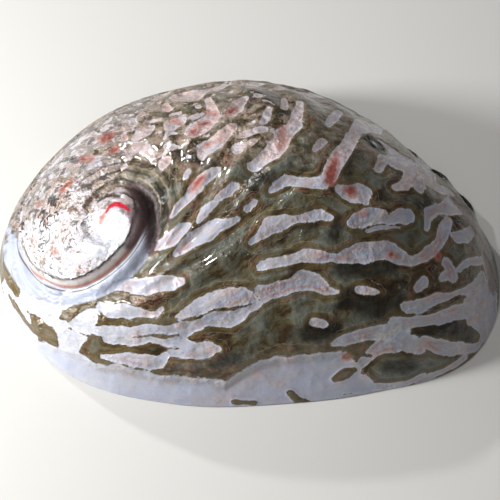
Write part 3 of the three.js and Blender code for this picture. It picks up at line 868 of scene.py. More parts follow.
def distance_to(points, stroke):
    """Distance of points from a stroke beyond its half width, in millimetres: negative inside."""
    best = np.full(len(points), FAR_AWAY)
    knots = [surface_over(x, y) for x, y, _ in stroke]
    widths = [width for _, _, width in stroke]
    if len(knots) == 1:
        return np.linalg.norm(points - knots[0], axis=1) - widths[0]
    for i in range(len(knots) - 1):
        step = knots[i + 1] - knots[i]
        t = np.clip((points - knots[i]) @ step / step.dot(step), 0, 1)
        gap = np.linalg.norm(points - knots[i] - t[:, None] * step, axis=1)
        best = np.minimum(best, gap - widths[i] - t * (widths[i + 1] - widths[i]))
    return best


def strokes_depth(points, strokes):
    """How deep points lie inside the nearest of some strokes, in millimetres."""
    depth = np.full(len(points), -FAR_AWAY)
    for stroke in strokes:
        depth = np.maximum(depth, -distance_to(points, stroke))
    return depth


def band_depth(points):
    """How far points lie below the upper edge of the rim band, in millimetres."""
    knots = np.array(RIM_BAND_EDGE, float)
    edge = np.interp(points[:, 0], knots[:, 0], knots[:, 1])
    before_end = knots[-1, 0] + BAND_PAST_END - points[:, 0]
    return np.minimum(np.minimum(before_end, edge - points[:, 1]), BAND_DEPTH_LIMIT)


def ripple(points, waves):
    """Smooth seeded noise: a sum of waves, each given by its height, its length and a shift."""
    total = np.zeros(len(points))
    for height, length, shift in waves:
        offset = Vector((shift, RANDOM_SEED, -shift))
        places = (points / length).tolist()
        total += height * np.array([noise.noise(Vector(place) + offset) for place in places])
    return total


def surface_over(x, y):
    """Point of the plain outer dome over a place in plan."""
    direction = math.atan2(y - CROWN[1], x - CROWN[0])
    distance = math.hypot(x - CROWN[0], y - CROWN[1])
    slope = math.radians(float(around(FLANK_SLOPES, direction)))
    share = distance / float(around(RIM_RADII, direction)) * math.sin(slope)
    reach = math.asin(min(share, math.sin(slope))) / slope
    return dome_point(reach, direction)


def upper_side(dome):
    """1 on the upper half of the far side, where the layers are cut into small mottles."""
    x, y, z = dome.T
    fading = 1 - UPPER_SIDE_FADE * smooth(*UPPER_SIDE_X, x)
    return smooth(*UPPER_SIDE_Y, y) * smooth(*UPPER_SIDE_Z, z) * fading


def pale_depth(dome, normals, size, place):
    """How deep the outside's points lie in the pale streaks, in millimetres."""
    drawn = np.maximum(strokes_depth(dome, PALE_STREAKS), band_depth(dome))
    drawn = np.minimum(drawn, -strokes_depth(dome, OLIVE_GAPS))
    lips = np.stack([STREAKS_ACROSS * np.log(size), STREAKS_ALONG * place, np.zeros(len(size))], -1)
    grown = STREAK_SWELL * (ripple(lips, STREAK_WAVES) + STREAK_LIFT)
    seen = smooth(*SEEN_FACING, normals @ VIEW_BACK)
    drawn = np.maximum(drawn, grown - UNSEEN_STEP * seen)
    upper = upper_side(dome)
    flecks = FLECK_SWELL * (ripple(dome, FLECK_WAVES) + FLECK_LIFT)
    flecks = flecks * upper - FLECK_STOP * (1 - upper)
    drawn = np.maximum(drawn, np.minimum(flecks, -drawn - FLECK_GAP))
    return drawn + ripple(dome, BORDER_WAVES)


def suture_offset(dome):
    """Signed distance of points from the suture, negative on the spire, and from the ledge's border."""
    radius, turn = spire_place(dome)
    late = turn + 2 * math.pi
    merged = over_turns(SUTURE_MERGES, late)
    suture = np.minimum(radius - suture_radius(turn), radius - suture_radius(late) + SUTURE_GAP * merged)
    early_border = radius - ledge_radius(late) + LEDGE_GAP * merged
    return suture, np.where(turn < 0, early_border, radius - ledge_radius(turn))


def spire_zone(dome):
    """1 where the spire's silvery skin runs on past the suture, behind the spire."""
    _, turn = spire_place(dome)
    late = np.where(turn < 0, turn + 2 * math.pi, turn)
    return over_turns(ZONE_BEGINS, late) * (1 - over_turns(ZONE_ENDS, late))


def form_shell(bm, side, dome):
    """Forms the outside, the inside, the rim that joins them and the pores, as one closed mesh."""
    outer_loop = add_disc(bm, OUTER_CELLS, outer_points, EDGE_REACH, OUTSIDE, side, dome)
    inner_loop = add_disc(bm, INNER_CELLS, inner_points, 1.0, INSIDE, side, dome)
    inner_faces = [face for face in bm.faces if face.verts[0][side] == INSIDE]
    bmesh.ops.reverse_faces(bm, faces=inner_faces)
    rounding, inward = edge_places()
    rim_loop = spread_loop(bm, outer_loop, rounding, EDGE, side)
    rim_loop = spread_loop(bm, rim_loop, inward, SHELF, side)
    bmesh.ops.bridge_loops(bm, edges=rim_loop + inner_loop)
    cut_pores(bm, side)
    bmesh.ops.recalc_face_normals(bm, faces=bm.faces)
    bm.normal_update()
    for face in bm.faces:
        face.smooth = True
        face.material_index = int(all(vertex[side] in (SHELF, INSIDE) for vertex in face.verts))


def build_shell_mesh(settings):
    """The whole shell as one closed mesh, with the numbers that its materials read."""
    bm = bmesh.new()
    side = bm.verts.layers.int.new("side")
    dome = bm.verts.layers.float_vector.new("dome")
    form_shell(bm, side, dome)

    sides = np.array([vertex[side] for vertex in bm.verts])
    outside = sides == OUTSIDE
    points = coordinates(bm.verts)
    domes = np.where(outside[:, None], np.array([vertex[dome] for vertex in bm.verts]), points)
    normals = np.array([vertex.normal for vertex in bm.verts])
    size, place = former_lip(domes)
    pale = pale_depth(domes, normals, size, place)
    eye = np.linalg.norm(domes - surface_over(*EYE), axis=1)
    pit = settings.pit_depth / MM * smooth(-PIT_RAMP / 2, PIT_RAMP / 2, pale)
    pit += EYE_DEPTH * np.exp(-(((eye - EYE_RING) / EYE_RING_WIDTH) ** 2))
    place_vertices(bm.verts, points - normals * (pit * outside)[:, None])

    mesh = bpy.data.meshes.new("shell_surface")
    bm.to_mesh(mesh)
    bm.free()
    suture, border = suture_offset(domes)
    radius, turn = spire_place(domes)
    numbers = {name: strokes_depth(domes, strokes) for name, strokes in MARKS.items()}
    numbers |= {
        "pale_depth": pale,
        "band_depth": band_depth(domes),
        "lip_size": np.log(size),
        "lip_place": place,
        "suture_offset": suture,
        "ledge_offset": border,
        "shaded_pore_wall": sides == PORE_WALL,
        "spire_zone": spire_zone(domes),
        "eye_distance": eye,
        "axis_distance": radius,
        "turn_cosine": np.cos(turn),
        "turn_sine": np.sin(turn),
        # Mask of the painted shade in the crevice beside the small dome.
        "crevice": crevice_shade(radius, turn),
        "upper_side": upper_side(domes),
    }
    for name, values in numbers.items():
        attribute = mesh.attributes.new(name, "FLOAT", "POINT")
        attribute.data.foreach_set("value", np.asarray(values, np.float32))
    return mesh


def socket_or_colour(tint):
    """A socket as it is, or a plain colour made opaque."""
    return tint if isinstance(tint, bpy.types.NodeSocket) else (*tint, 1.0)


class Graph:
    """A short way to add and join shader nodes in one tree."""

    def __init__(self, tree):
        self.tree = tree

    def fill(self, node, values):
        """Sets or links a node's inputs."""
        for name, value in values.items():
            if isinstance(value, bpy.types.NodeSocket):
                self.tree.links.new(value, node.inputs[name])
            else:
                node.inputs[name].default_value = value

    def node(self, kind, values=None, **settings):
        """Adds a node, sets its settings, and sets or links its inputs."""
        made = self.tree.nodes.new("ShaderNode" + kind)
        for name, value in settings.items():
            setattr(made, name, value)
        self.fill(made, values or {})
        return made

    def math(self, operation, a, b=0.0, c=0.0):
        """One operation on numbers."""
        return self.node("Math", {0: a, 1: b, 2: c}, operation=operation).outputs[0]

    def times(self, product, *factors):
        """Product of values."""
        for factor in factors:
            product = self.math("MULTIPLY", product, factor)
        return product

    def scaled(self, value, factor, extra):
        """A value times a factor, plus an extra value."""
        return self.math("MULTIPLY_ADD", value, factor, extra)

    def attribute(self, name):
        """A number stored on the vertices."""
        return self.node("Attribute", attribute_name=name).outputs["Fac"]

    def ramp(self, value, start, end, low=0.0, high=1.0):
        """Eases from low at start to high at end."""
        values = {0: value, 1: start, 2: end, 3: low, 4: high}
        return self.node("MapRange", values, interpolation_type="SMOOTHSTEP").outputs[0]

    def paint(self, skin, *coats):
        """Lays coats over a first colour, each given as a colour and an amount from 0 to 1."""
        for coat, amount in coats:
            values = dict(zip(MIX_INPUTS, (amount, socket_or_colour(skin), socket_or_colour(coat))))
            skin = self.node("Mix", values, data_type="RGBA").outputs[MIX_RESULT]
        return skin

    def noise(self, vector, scale, detail=2.0, roughness=0.5):
        """Smooth noise from 0 to 1."""
        values = {"Vector": vector, "Scale": scale, "Detail": detail, "Roughness": roughness}
        return self.node("TexNoise", values).outputs["Fac"]

    def spread(self, value, field, amount):
        """Adds a noise field, centred on 0, to a value."""
        return self.scaled(self.math("SUBTRACT", field, 0.5), amount, value)

    def layers(self, value, count):
        """Folds a value into layers: 0 on their lines and 1 midway between, count to each unit."""
        turned = self.math("SUBTRACT", self.math("FRACT", self.times(value, count)), 0.5)
        return self.math("SUBTRACT", 1.0, self.times(self.math("ABSOLUTE", turned), 2.0))

    def line(self, value, centre, width):
        """1 on a thin line where value passes centre, fading to 0 at width from it."""
        away = self.math("ABSOLUTE", self.math("SUBTRACT", value, centre))
        return self.ramp(away, width, 0.0)


def growth_group():
    """Node group: strands that run along the shell's former lips, broad to fine, and an even grain."""
    group = bpy.data.node_groups.new("Growth strands", "ShaderNodeTree")
    for name in STRAND_OUTPUTS:
        group.interface.new_socket(name, in_out="OUTPUT", socket_type="NodeSocketFloat")
    g = Graph(group)
    spot = g.node("TexCoord").outputs["Object"]
    drift = g.noise(spot, LIP_DRIFT_SCALE, 3.0)
    lips = g.node("CombineXYZ", {
        "X": g.scaled(g.attribute("lip_size"), STRANDS_ACROSS, g.times(drift, LIP_DRIFT)),
        "Y": g.times(g.attribute("lip_place"), STRANDS_ALONG),
    }).outputs[0]
    out = group.nodes.new("NodeGroupOutput")
    g.fill(out, {
        "Broad": g.noise(lips, 0.16, 3.0, 0.55),
        "Strands": g.noise(lips, 0.55, 4.0, 0.6),
        "Fine": g.noise(lips, 1.6, 3.0, 0.6),
        "Grain": g.noise(spot, GRAIN_SCALE, 3.0, 0.6),
    })
    return group


# In what follows g is a graph, f the fields over the outside, and s the settings that hold the colours.


def outside_fields(g, strands_group):
    """The values over the outside that its colours and relief share."""
    spot = g.node("TexCoord").outputs["Object"]
    made = g.node("Group", node_tree=strands_group).outputs
    f = SimpleNamespace(**{name.lower(): made[name] for name in STRAND_OUTPUTS})
    f.spot = spot
    f.cloud = g.noise(spot, CLOUD_SCALE, 4.0, 0.6)
    f.grouped = g.noise(spot, GROUP_SCALE, 2.0)
    f.patch = g.noise(spot, PATCH_SCALE, 3.0, 0.55)
    f.mottle = g.noise(spot, MOTTLE_SCALE, 3.0, 0.6)
    f.flecks = g.noise(spot, FLECK_SCALE, 4.0, 0.7)
    f.depth = g.spread(g.attribute("pale_depth"), f.grain, 0.5)
    f.depth = g.spread(g.spread(f.depth, f.strands, 1.0), f.fine, 0.8)
    f.old = g.ramp(g.node("SeparateXYZ", {0: spot}).outputs["X"], *OLD_PART)
    f.warm = g.ramp(f.old, 0.0, 0.6, 1.0, 0.25)
    f.calm = g.ramp(g.attribute("band_depth"), -0.5, 2.5)
    f.upper = g.attribute("upper_side")
    f.suture = g.attribute("suture_offset")
    f.behind = g.spread(g.attribute("spire_zone"), f.patch, 2.4)
    f.eye = g.attribute("eye_distance")
    # Mask of the painted shade in the crevice beside the small dome.
    f.crevice = g.attribute("crevice")
    f.axis = g.attribute("axis_distance")
    f.sine = g.attribute("turn_sine")
    f.drift = g.times(g.noise(spot, DRIFT_SCALE, 3.0, 0.6), 3.0)
    whorl = g.node("CombineXYZ", {
        "X": g.scaled(f.axis, SWIRLS_OUTWARD, f.drift),
        "Y": g.times(g.attribute("turn_cosine"), SWIRLS_ROUND),
        "Z": g.times(f.sine, SWIRLS_ROUND),
    }).outputs[0]
    f.swirl = g.layers(g.noise(whorl, 1.0, 2.0, 0.5), 5.0)
    return f


def pale_colour(g, f, s):
    """Pale streaks, with fine lines that follow their borders."""
    busy = g.ramp(f.calm, 0.0, 1.0, 1.0, 0.25)
    rings = g.layers(g.scaled(f.fine, 1.4, f.depth), 1.7)
    return g.paint(
        s.pale,
        (s.pale_pink, g.times(g.ramp(f.patch, 0.4, 0.62), f.warm)),
        (s.lavender, g.ramp(f.strands, 0.40, 0.58, 0.2, 0.85)),
        (s.pale_pink, g.times(f.upper, g.ramp(f.cloud, 0.35, 0.55, 0.2, 0.9))),
        (s.white, g.times(f.old, g.ramp(f.cloud, 0.3, 0.6, 0.4, 0.9))),
        (s.lavender, g.times(f.calm, g.ramp(f.broad, 0.35, 0.6, 0.2, 0.7))),
        (s.contour, g.times(g.ramp(rings, 0.0, 0.5, 0.4, 0.0), busy)),
        (s.highlight, g.times(g.ramp(f.fine, 0.52, 0.7, 0.0, 0.4), busy)),
        (s.blush, g.times(g.line(f.depth, 1.4, 0.7), g.ramp(f.cloud, 0.50, 0.60), f.warm, busy, 0.55)),
        (s.highlight, g.times(g.line(f.depth, 0.35, 0.3), 0.3)),
    )


def olive_colour(g, f, s):
    """Olive, brown and grey-green layers between the streaks, with rings round the streaks."""
    layer = g.scaled(f.broad, 0.5, g.scaled(f.strands, 0.35, g.times(f.fine, 0.2)))
    layer = g.spread(layer, f.cloud, 0.35)
    rings = g.layers(g.scaled(f.patch, 2.4, f.depth), 0.5)
    pockets_and_shade = g.spread(g.spread(g.attribute("pocket_and_shade_depth"), f.broad, 5.0), f.patch, 3.0)
    return g.paint(
        s.deep,
        (s.brown, g.ramp(layer, 0.40, 0.48)),
        (s.olive, g.ramp(layer, 0.46, 0.53)),
        (s.teal, g.ramp(layer, 0.54, 0.60)),
        (s.olive_light, g.ramp(layer, 0.60, 0.70)),
        (s.deep, g.ramp(f.fine, 0.42, 0.3, 0.0, 0.7)),
        (s.deep, g.times(g.ramp(f.depth, -2.0, -6.0), g.ramp(f.patch, 0.4, 0.6, 0.0, 0.7))),
        # Painted sheen: blue-green glints laid deep in the layers, away from the streaks.
        (s.glint, g.times(g.ramp(f.grouped, 0.42, 0.62), g.ramp(f.depth, -1.0, -2.4), 0.6)),
        (s.glow, g.times(f.old, g.ramp(f.cloud, 0.3, 0.55, 0.1, 0.6))),
        (s.glow, g.times(g.ramp(f.depth, -2.2, -0.3, 0.0, 0.65), g.ramp(f.strands, 0.38, 0.58, 0.2, 1.0))),
        (s.brown, g.times(g.line(f.depth, -0.1, 0.4), 0.75)),
        (s.mottle, g.times(g.ramp(f.mottle, 0.48, 0.56), f.upper, 0.7)),
        (s.deep, g.times(g.ramp(f.mottle, 0.42, 0.36), f.upper, 0.85)),
        (s.brown, g.ramp(rings, 0.0, 0.3, 0.4, 0.0)),
        (s.mottle, g.times(g.ramp(rings, 0.8, 1.0, 0.0, 0.35), f.warm)),
        (s.blush, g.times(g.line(f.depth, -1.5, 0.6), g.ramp(f.patch, 0.48, 0.6), f.warm, 0.35)),
        # Dark pockets in the layers, with painted shade in the crevice beside the small dome.
        (s.deep, g.ramp(pockets_and_shade, -2.6, 1.2, 0.0, 0.85)),
    )


def silver_colour(g, f, s):
    """The worn spire: silver with squiggling dark and golden layers, and a painted glare on its lower side.
    """
    # Painted glare where the key light shines on the spire's lower side; the dark marks are thinned there.
    painted_glare = g.times(g.ramp(f.sine, 0.3, 0.95), g.ramp(f.grouped, 0.35, 0.5))
    torn = g.ramp(f.behind, 0.7, 1.0)
    layered = g.paint(s.olive, (s.mottle, g.ramp(f.patch, 0.42, 0.58)))
    rough = g.times(g.ramp(f.axis, 6.5, 9.0, 0.25, 1.0), g.ramp(painted_glare, 0.0, 1.0, 1.0, 0.2))
    ink = g.paint(s.teal, (s.deep, g.ramp(f.patch, 0.48, 0.56)))
    return g.paint(
        s.silver,
        (s.white, g.ramp(f.fine, 0.4, 0.65)),
        (s.pale_pink, g.ramp(f.cloud, 0.48, 0.62, 0.0, 0.6)),
        (s.blush, g.times(g.ramp(f.patch, 0.54, 0.62, 0.0, 0.8), g.ramp(f.strands, 0.42, 0.58))),
        # Painted glare: white laid on the spire's lower side.
        (s.white, g.times(painted_glare, 0.8)),
        (s.pale_pink, g.times(torn, 0.6)),
        (layered, g.times(torn, g.ramp(f.mottle, 0.47, 0.55), 0.85)),
        (s.deep, g.times(torn, g.ramp(f.mottle, 0.46, 0.41), 0.9)),
        (ink, g.times(g.ramp(f.swirl, 0.45, 0.15), g.ramp(f.grouped, 0.42, 0.56, 0.0, 0.95), rough)),
        (s.glow, g.times(g.ramp(f.swirl, 0.65, 0.85), g.ramp(f.grouped, 0.54, 0.44, 0.0, 0.75), rough)),
        (s.deep, g.times(g.ramp(f.flecks, 0.60, 0.66, 0.0, 0.8), rough)),
    )


def seam_colours(g, f, s, silver):
    """Lays the dark border of the silver, the pale band and the pink line along the suture."""
    seam = g.ramp(g.attribute("spire_zone"), 0.6, 0.1)
    wander = g.spread(f.suture, g.noise(f.spot, SEAM_SCALE, 4.0, 0.65), 2.2)
    return g.paint(
        silver,
        (s.olive, g.times(g.line(wander, -3.1, 0.9), seam, 0.7)),
        (s.deep, g.times(g.line(wander, -3.2, 0.4), g.ramp(f.patch, 0.38, 0.5), seam)),
        (s.cream, g.times(g.ramp(f.suture, -2.6, -2.0), seam)),
        (s.blush, g.times(g.line(f.suture, -0.5, 0.9), seam)),
    )


def small_dome_colours(g, f, s, silver):
    """Lays the purple side, partly painted shade, and the brown, orange and crimson marks on the small
    dome.
    """
    shade = g.spread(g.attribute("purple_shaded_side"), f.strands, 3.0)
    arc = g.spread(g.attribute("brown_arc"), f.fine, 1.2)
    return g.paint(
        silver,
        # Partly painted shade: purple-brown on the small dome's side away from the key light.
        (s.purple, g.ramp(shade, -1.6, 0.6, 0.0, 0.85)),
        (s.brown, g.ramp(arc, -0.9, 0.1, 0.0, 0.9)),
        (s.blush, g.ramp(g.attribute("orange_leg"), -0.6, 0.3, 0.0, 0.85)),
        (s.crimson, g.ramp(g.attribute("crimson_arc"), -0.3, 0.2)),
    )


def ledge_colours(g, f, s, skin, silver):
    """Lays the pale blue ledge, and the silver of the spire, over the streaks and layers."""
    ledge = g.paint(
        s.ledge,
        (s.lavender, g.ramp(f.strands, 0.4, 0.65)),
        (s.olive, g.line(f.suture, 0.9, 0.35)),
    )
    on_ledge = g.times(g.ramp(g.attribute("ledge_offset"), 0.4, -0.4), g.ramp(f.suture, -0.2, 0.2))
    return g.paint(
        skin,
        (ledge, g.times(on_ledge, g.ramp(f.behind, 0.9, 0.4))),
        (silver, g.ramp(f.behind, 0.75, 0.95, 0.0, 0.8)),
        (silver, g.times(g.ramp(f.suture, 0.25, -0.25), g.ramp(f.behind, 1.6, 0.8))),
    )


def wrapped_colours(g, f, s, skin):
    """Lays the dark and light lines that wrap round the foot of the spire."""
    wrapped = g.layers(g.scaled(f.drift, 0.3, g.times(f.axis, 0.3)), 1.0)
    near = g.times(g.ramp(f.axis, 27.0, 15.0), g.ramp(f.sine, 0.4, -0.2), g.ramp(f.suture, -1.0, 1.0))
    return g.paint(
        skin,
        (s.deep, g.times(near, g.ramp(wrapped, 0.4, 0.1, 0.0, 0.75))),
        (s.mottle, g.times(near, g.ramp(wrapped, 0.7, 0.95, 0.0, 0.5))),
    )


def mark_colours(g, f, s, skin):
    """Lays on red marks, rusty margin, eye-like scar, and painted shade on the pore walls and in the
    crevice.
    """
    red = g.spread(g.attribute("red_depth"), g.noise(f.spot, RED_SCALE, 3.0, 0.6), 2.4)
    rusty = g.spread(g.attribute("margin_depth"), f.strands, 6.0)
    eye = g.spread(f.eye, f.patch, 0.8)
    crevice = g.spread(f.crevice, f.strands, 0.6)
    return g.paint(
        skin,
        (s.blush, g.ramp(red, -1.4, -0.2, 0.0, 0.65)),
        (s.red, g.ramp(red, -0.1, 0.7, 0.0, 0.85)),
        (s.blush, g.ramp(red, 1.5, 2.1, 0.0, 0.8)),
        (s.rust, g.ramp(rusty, -2.5, 0.5, 0.0, 0.8)),
        # Painted shade: the pore walls laid near-black so the holes look dark.
        (s.deep, g.times(g.attribute("shaded_pore_wall"), 0.9)),
        (s.olive, g.ramp(eye, 5.6, 4.6, 0.0, 0.9)),
        (s.deep, g.ramp(eye, 4.4, 3.8)),
        (s.teal, g.ramp(eye, 2.0, 1.6)),
        (s.highlight, g.ramp(eye, 1.3, 0.6)),
        # Painted shade: purple and near-black laid in the crevice between the small dome and the body.
        (s.purple, g.ramp(crevice, 0.2, 0.75, 0.0, 0.95)),
        (s.deep, g.ramp(crevice, 0.6, 1.1, 0.0, 0.9)),
    )


def outside_relief(g, f, worn):
    """Height of the polished surface: lively on the spire and the upper side, calm along the rim band."""
    bubbles = g.node("TexVoronoi", {"Vector": f.spot, "Scale": BUBBLE_SCALE}).outputs["Distance"]
    bubbles = g.times(g.ramp(bubbles, 0.45, 0.1), g.ramp(g.attribute("bubble_depth"), -0.5, 0.3))
    relief = g.scaled(f.flecks, g.times(worn, 3.0), g.times(f.fine, 0.35))
    relief = g.scaled(f.grouped, 4.6, relief)
    relief = g.scaled(bubbles, 1.2, relief)
    relief = g.scaled(f.patch, 2.8, relief)
    hammered = g.scaled(f.flecks, 1.4, g.times(f.mottle, 2.6))
    relief = g.scaled(hammered, f.upper, relief)
    relief = g.times(relief, g.ramp(f.calm, 0.0, 1.0, 1.0, 0.3))
    return g.math("ADD", relief, g.ramp(f.depth, -0.1, 0.1, 0.3, 0.0))


def new_material(name):
    """A new material, with its graph and its shader."""
    material = bpy.data.materials.new(name)
    material.use_nodes = True
    return material, Graph(material.node_tree), material.node_tree.nodes["Principled BSDF"]


def outside_material(settings, strands_group):
    """Polished outside: pale streaks over olive layers, and a silvery spire beside a pale blue ledge."""
    material, g, shader = new_material("Polished outside")
    f = outside_fields(g, strands_group)
    silver = silver_colour(g, f, settings)
    silver = seam_colours(g, f, settings, silver)
    silver = small_dome_colours(g, f, settings, silver)
    streaks = (pale_colour(g, f, settings), g.ramp(f.depth, -0.2, 0.14))
    skin = g.paint(olive_colour(g, f, settings), streaks)
    skin = ledge_colours(g, f, settings, skin, silver)
    skin = wrapped_colours(g, f, settings, skin)
    skin = mark_colours(g, f, settings, skin)
    worn = g.math("MAXIMUM", g.ramp(f.suture, -2.0, -3.5), g.times(f.behind, 0.6))
    worn = g.math("MINIMUM", worn, 1.0)
    height = outside_relief(g, f, worn)
    bump = g.node("Bump", {"Height": height, "Strength": OUTSIDE_BUMP, "Distance": BUMP_DISTANCE})
    shine = g.ramp(f.crevice, 0.02, 0.5, settings.polish, 0.0)
    g.fill(shader, {
        "Base Color": skin,
        "Normal": bump.outputs[0],
        "Metallic": g.times(worn, SPIRE_METAL),
        "Roughness": g.ramp(f.grain, 0.3, 0.7, 0.14, 0.28),
        "Coat Weight": g.times(shine, g.ramp(f.eye, 4.0, 6.0)),
        "Coat Roughness": 0.04,
        "Specular IOR Level": 0.3,
    })
    return material


def inside_material(settings, strands_group):
    """Inside: silvery mother of pearl with soft pink, green and blue bands."""
    material, g, shader = new_material("Mother of pearl inside")
    spot = g.node("TexCoord").outputs["Object"]
    swirl = g.noise(spot, PEARL_SWIRL_SCALE, 5.0, 0.6)
    strands = g.node("Group", node_tree=strands_group).outputs
    lips = g.scaled(strands["Strands"], 0.3, g.attribute("lip_size"))
    first = g.layers(g.scaled(g.noise(spot, PEARL_CLOUD_SCALE, 4.0, 0.6), 1.1, lips), 2.2)
    second = g.layers(g.scaled(swirl, 0.5, lips), 3.1)
    pearl = g.paint(
        settings.pearl,
        (settings.pearl_pink, g.ramp(first, 0.2, 0.8)),
        (settings.pearl_green, g.ramp(second, 0.45, 0.9, 0.0, 0.8)),
        (settings.pearl_blue, g.times(g.ramp(first, 0.5, 0.1), g.ramp(second, 0.6, 0.2))),
        (settings.white, g.ramp(strands["Fine"], 0.5, 0.7, 0.0, 0.35)),
    )
    bump = g.node("Bump", {"Height": swirl, "Strength": INSIDE_BUMP, "Distance": BUMP_DISTANCE})
    g.fill(shader, {
        "Base Color": pearl,
        "Normal": bump.outputs[0],
        "Metallic": 0.3,
        "Roughness": g.ramp(swirl, 0.3, 0.7, 0.18, 0.3),
        "Coat Weight": 0.6,
        "Coat Roughness": 0.06,
    })
    return material


def colour_property(name, description, default):
    """A colour that the user can change."""
    return bpy.props.FloatVectorProperty(
        name=name, description=description, subtype="COLOR", size=3, min=0.0, max=1.0, default=default)


class ShellSettings(bpy.types.PropertyGroup):
    """Looks of the shell."""

    pit_depth: bpy.props.FloatProperty(
        name="Pit depth", description="How deep the pale streaks lie in the polished surface",
        default=0.0002, min=0.0, max=0.001, precision=5, unit="LENGTH")
    polish: bpy.props.FloatProperty(
        name="Polish", description="How strongly the polished surface shines",
        default=0.45, min=0.0, max=1.0, subtype="FACTOR")
    pale: colour_property("Pale streaks", "Main colour of the streaks", (0.42, 0.405, 0.41))
    pale_pink: colour_property("Pink tint", "Warm tint in the streaks", (0.54, 0.39, 0.36))
    lavender: colour_property("Lavender tint", "Cool tint in the streaks", (0.39, 0.42, 0.53))
    white: colour_property("White pearl", "Palest pearl, towards the spire", (0.64, 0.66, 0.72))
    highlight: colour_property("Streak outline", "Light lines in and round the streaks", (0.70, 0.69, 0.67))
    contour: colour_property("Contour lines", "Fine lines inside the streaks", (0.20, 0.17, 0.15))
    blush: colour_property("Blush", "Pink rings and red-orange lines", (0.40, 0.17, 0.13))
    red: colour_property("Red cores", "Middle of the reddest marks", (0.26, 0.05, 0.035))
    olive: colour_property("Olive layers", "Main colour between the streaks", (0.105, 0.088, 0.045))
    olive_light: colour_property("Light layers", "Lightest layers between the streaks", (0.16, 0.16, 0.115))
    glow: colour_property("Olive border", "Warm olive beside the streaks", (0.135, 0.088, 0.030))
    mottle: colour_property("Mottles", "Light mottles on the upper side", (0.35, 0.28, 0.22))
    brown: colour_property("Brown lines", "Thin lines round the streaks", (0.045, 0.026, 0.011))
    # Painted sheen laid into the olive layers.
    glint: colour_property("Blue-green glints", "Bright patches deep in the layers", (0.15, 0.165, 0.14))
    rust: colour_property("Rusty margin", "Reddish brown along the right margin", (0.085, 0.035, 0.025))
    teal: colour_property("Grey-green layers", "Cool layers between the streaks", (0.105, 0.12, 0.105))
    deep: colour_property("Dark layers", "Darkest layers and pockets", (0.014, 0.012, 0.008))
    silver: colour_property("Spire", "Silvery colour of the spire", (0.60, 0.55, 0.57))
    cream: colour_property("Suture band", "Pale band beside the suture", (0.52, 0.46, 0.44))
    # Painted shade: purple-brown on the small dome's side away from the light, and in the crevice.
    purple: colour_property("Purple shade", "Purple-brown side of the small dome", (0.10, 0.06, 0.065))
    crimson: colour_property("Crimson arc", "Bright arc on the small dome", (0.42, 0.006, 0.02))
    ledge: colour_property("Ledge", "Pale blue ledge beside the spire", (0.40, 0.43, 0.52))
    pearl: colour_property("Pearl", "Main colour of the inside", (0.60, 0.60, 0.58))
    pearl_pink: colour_property("Pearl pink", "Pink bands of the inside", (0.60, 0.47, 0.51))
    pearl_green: colour_property("Pearl green", "Green bands of the inside", (0.38, 0.54, 0.48))
    pearl_blue: colour_property("Pearl blue", "Blue bands of the inside", (0.41, 0.49, 0.62))


class StageSettings(bpy.types.PropertyGroup):
    """Floor, light and camera."""

    floor: colour_property("Floor", "Colour of the studio floor", (0.64, 0.63, 0.60))
    key_power: bpy.props.FloatProperty(
        name="Key light", description="Power of the main light at the upper left",
        default=3.0, min=0.0, unit="POWER")
    back_power: bpy.props.FloatProperty(
        name="Back light", description="Power of the small light behind the spire",
        default=1.8, min=0.0, unit="POWER")
    glint_power: bpy.props.FloatProperty(
        name="Glint light", description="Power of the small light that makes the polish sparkle",
        default=0.6, min=0.0, unit="POWER")
    fill_power: bpy.props.FloatProperty(
        name="Fill light", description="Power of the soft light in front",
        default=2.2, min=0.0, unit="POWER")
    sky_strength: bpy.props.FloatProperty(
        name="Room light", description="Strength of the light from all round", default=0.13, min=0.0)
    camera_elevation: bpy.props.FloatProperty(
        name="Camera elevation", description="Height of the camera above the horizon as an angle",
        default=CAMERA_ELEVATION, min=0.0, max=math.radians(90), subtype="ANGLE", unit="ROTATION")
    camera_distance: bpy.props.FloatProperty(
        name="Camera distance", description="Distance of the camera from the shell",
        default=0.45, min=0.1, unit="LENGTH")


class SHELL_OT_build(bpy.types.Operator):
    """Builds the abalone shell and hides the plain part that it stands for"""

    bl_idname = "abalone.build_shell"
    bl_label = "Build shell"

    def execute(self, context):
        settings = context.scene.abalone_shell
        mesh = build_shell_mesh(settings)
        shell = bpy.data.objects.new("abalone_shell", mesh)
        context.scene.collection.objects.link(shell)
        strands_group = growth_group()
        mesh.materials.append(outside_material(settings, strands_group))
        mesh.materials.append(inside_material(settings, strands_group))
        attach(shell, "root")
        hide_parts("shell")
        return {"FINISHED"}


class SHELL_OT_stage(bpy.types.Operator):
    """Builds the floor, the studio light and the camera"""

    bl_idname = "abalone.build_stage"
    bl_label = "Build stage"

    def execute(self, context):
        settings = context.scene.abalone_stage
        scene = context.scene
        bm = bmesh.new()
        bmesh.ops.create_grid(bm, x_segments=1, y_segments=1, size=FLOOR_HALF_SIZE)
        mesh = bpy.data.meshes.new("floor_surface")
        bm.to_mesh(mesh)
        bm.free()
        floor = bpy.data.objects.new("floor", mesh)
        scene.collection.objects.link(floor)
        matt, graph, shader = new_material("Matt floor")
        graph.fill(shader, {"Base Color": socket_or_colour(settings.floor), "Roughness": FLOOR_ROUGHNESS})
        mesh.materials.append(matt)
        add_light(scene, "key_light", settings.key_power, *KEY_LIGHT)
        add_light(scene, "back_light", settings.back_power, *BACK_LIGHT)
        add_light(scene, "glint_light", settings.glint_power, *GLINT_LIGHT)
        add_light(scene, "fill_light", settings.fill_power, *FILL_LIGHT)
        world = bpy.data.worlds.new("soft_room")
        world.use_nodes = True
        background = world.node_tree.nodes["Background"]
        background.inputs["Color"].default_value = ROOM_COLOUR
        background.inputs["Strength"].default_value = settings.sky_strength
        scene.world = world
        add_camera(scene, settings)
        scene.view_settings.view_transform = "Standard"
        return {"FINISHED"}


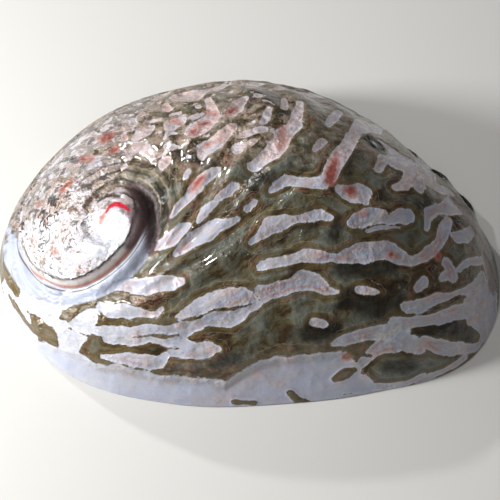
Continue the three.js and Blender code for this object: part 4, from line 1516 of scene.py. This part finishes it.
def add_light(scene, name, power, place, size, glints):
    """An area light aimed at the shell."""
    light = bpy.data.lights.new(name, "AREA")
    light.size = size
    light.energy = power
    light.shape = "DISK"
    holder = bpy.data.objects.new(name, light)
    holder.location = place
    holder.visible_glossy = glints
    holder.rotation_mode = "QUATERNION"
    holder.rotation_quaternion = (Vector(LOOK_AT) - Vector(place)).to_track_quat("-Z", "Y")
    scene.collection.objects.link(holder)


def add_camera(scene, settings):
    """The camera at the photograph's viewing angle."""
    camera = bpy.data.cameras.new("camera")
    camera.lens = CAMERA_LENS
    camera.sensor_width = CAMERA_SENSOR
    camera.clip_start = CAMERA_CLIP_START
    holder = bpy.data.objects.new("camera", camera)
    elevation = settings.camera_elevation
    back = Vector((0.0, -math.cos(elevation), math.sin(elevation)))
    holder.location = Vector(LOOK_AT) + back * settings.camera_distance
    holder.rotation_mode = "QUATERNION"
    holder.rotation_quaternion = (-back).to_track_quat("-Z", "Y")
    scene.collection.objects.link(holder)
    scene.camera = holder


class SHELL_PT_panel(bpy.types.Panel):
    """The shell's sizes, colours and buttons"""

    bl_label = "Abalone shell"
    bl_idname = "SHELL_PT_panel"
    bl_space_type = "VIEW_3D"
    bl_region_type = "UI"
    bl_category = "Abalone"

    def draw(self, context):
        for settings, button in (
            (context.scene.abalone_shell, SHELL_OT_build.bl_idname),
            (context.scene.abalone_stage, SHELL_OT_stage.bl_idname),
        ):
            column = self.layout.column()
            for name in settings.__annotations__:
                column.prop(settings, name)
            column.operator(button)


CLASSES = (ShellSettings, StageSettings, SHELL_OT_build, SHELL_OT_stage, SHELL_PT_panel)


def register():
    """Adds the panel, the buttons and the settings."""
    for item in CLASSES:
        bpy.utils.register_class(item)
    bpy.types.Scene.abalone_shell = bpy.props.PointerProperty(type=ShellSettings)
    bpy.types.Scene.abalone_stage = bpy.props.PointerProperty(type=StageSettings)


def unregister():
    """Takes them away again."""
    del bpy.types.Scene.abalone_stage
    del bpy.types.Scene.abalone_shell
    for item in reversed(CLASSES):
        bpy.utils.unregister_class(item)


def main():
    """Builds the shell and its studio."""
    register()
    bpy.ops.abalone.build_shell()
    bpy.ops.abalone.build_stage()


if __name__ == "__main__":
    main()
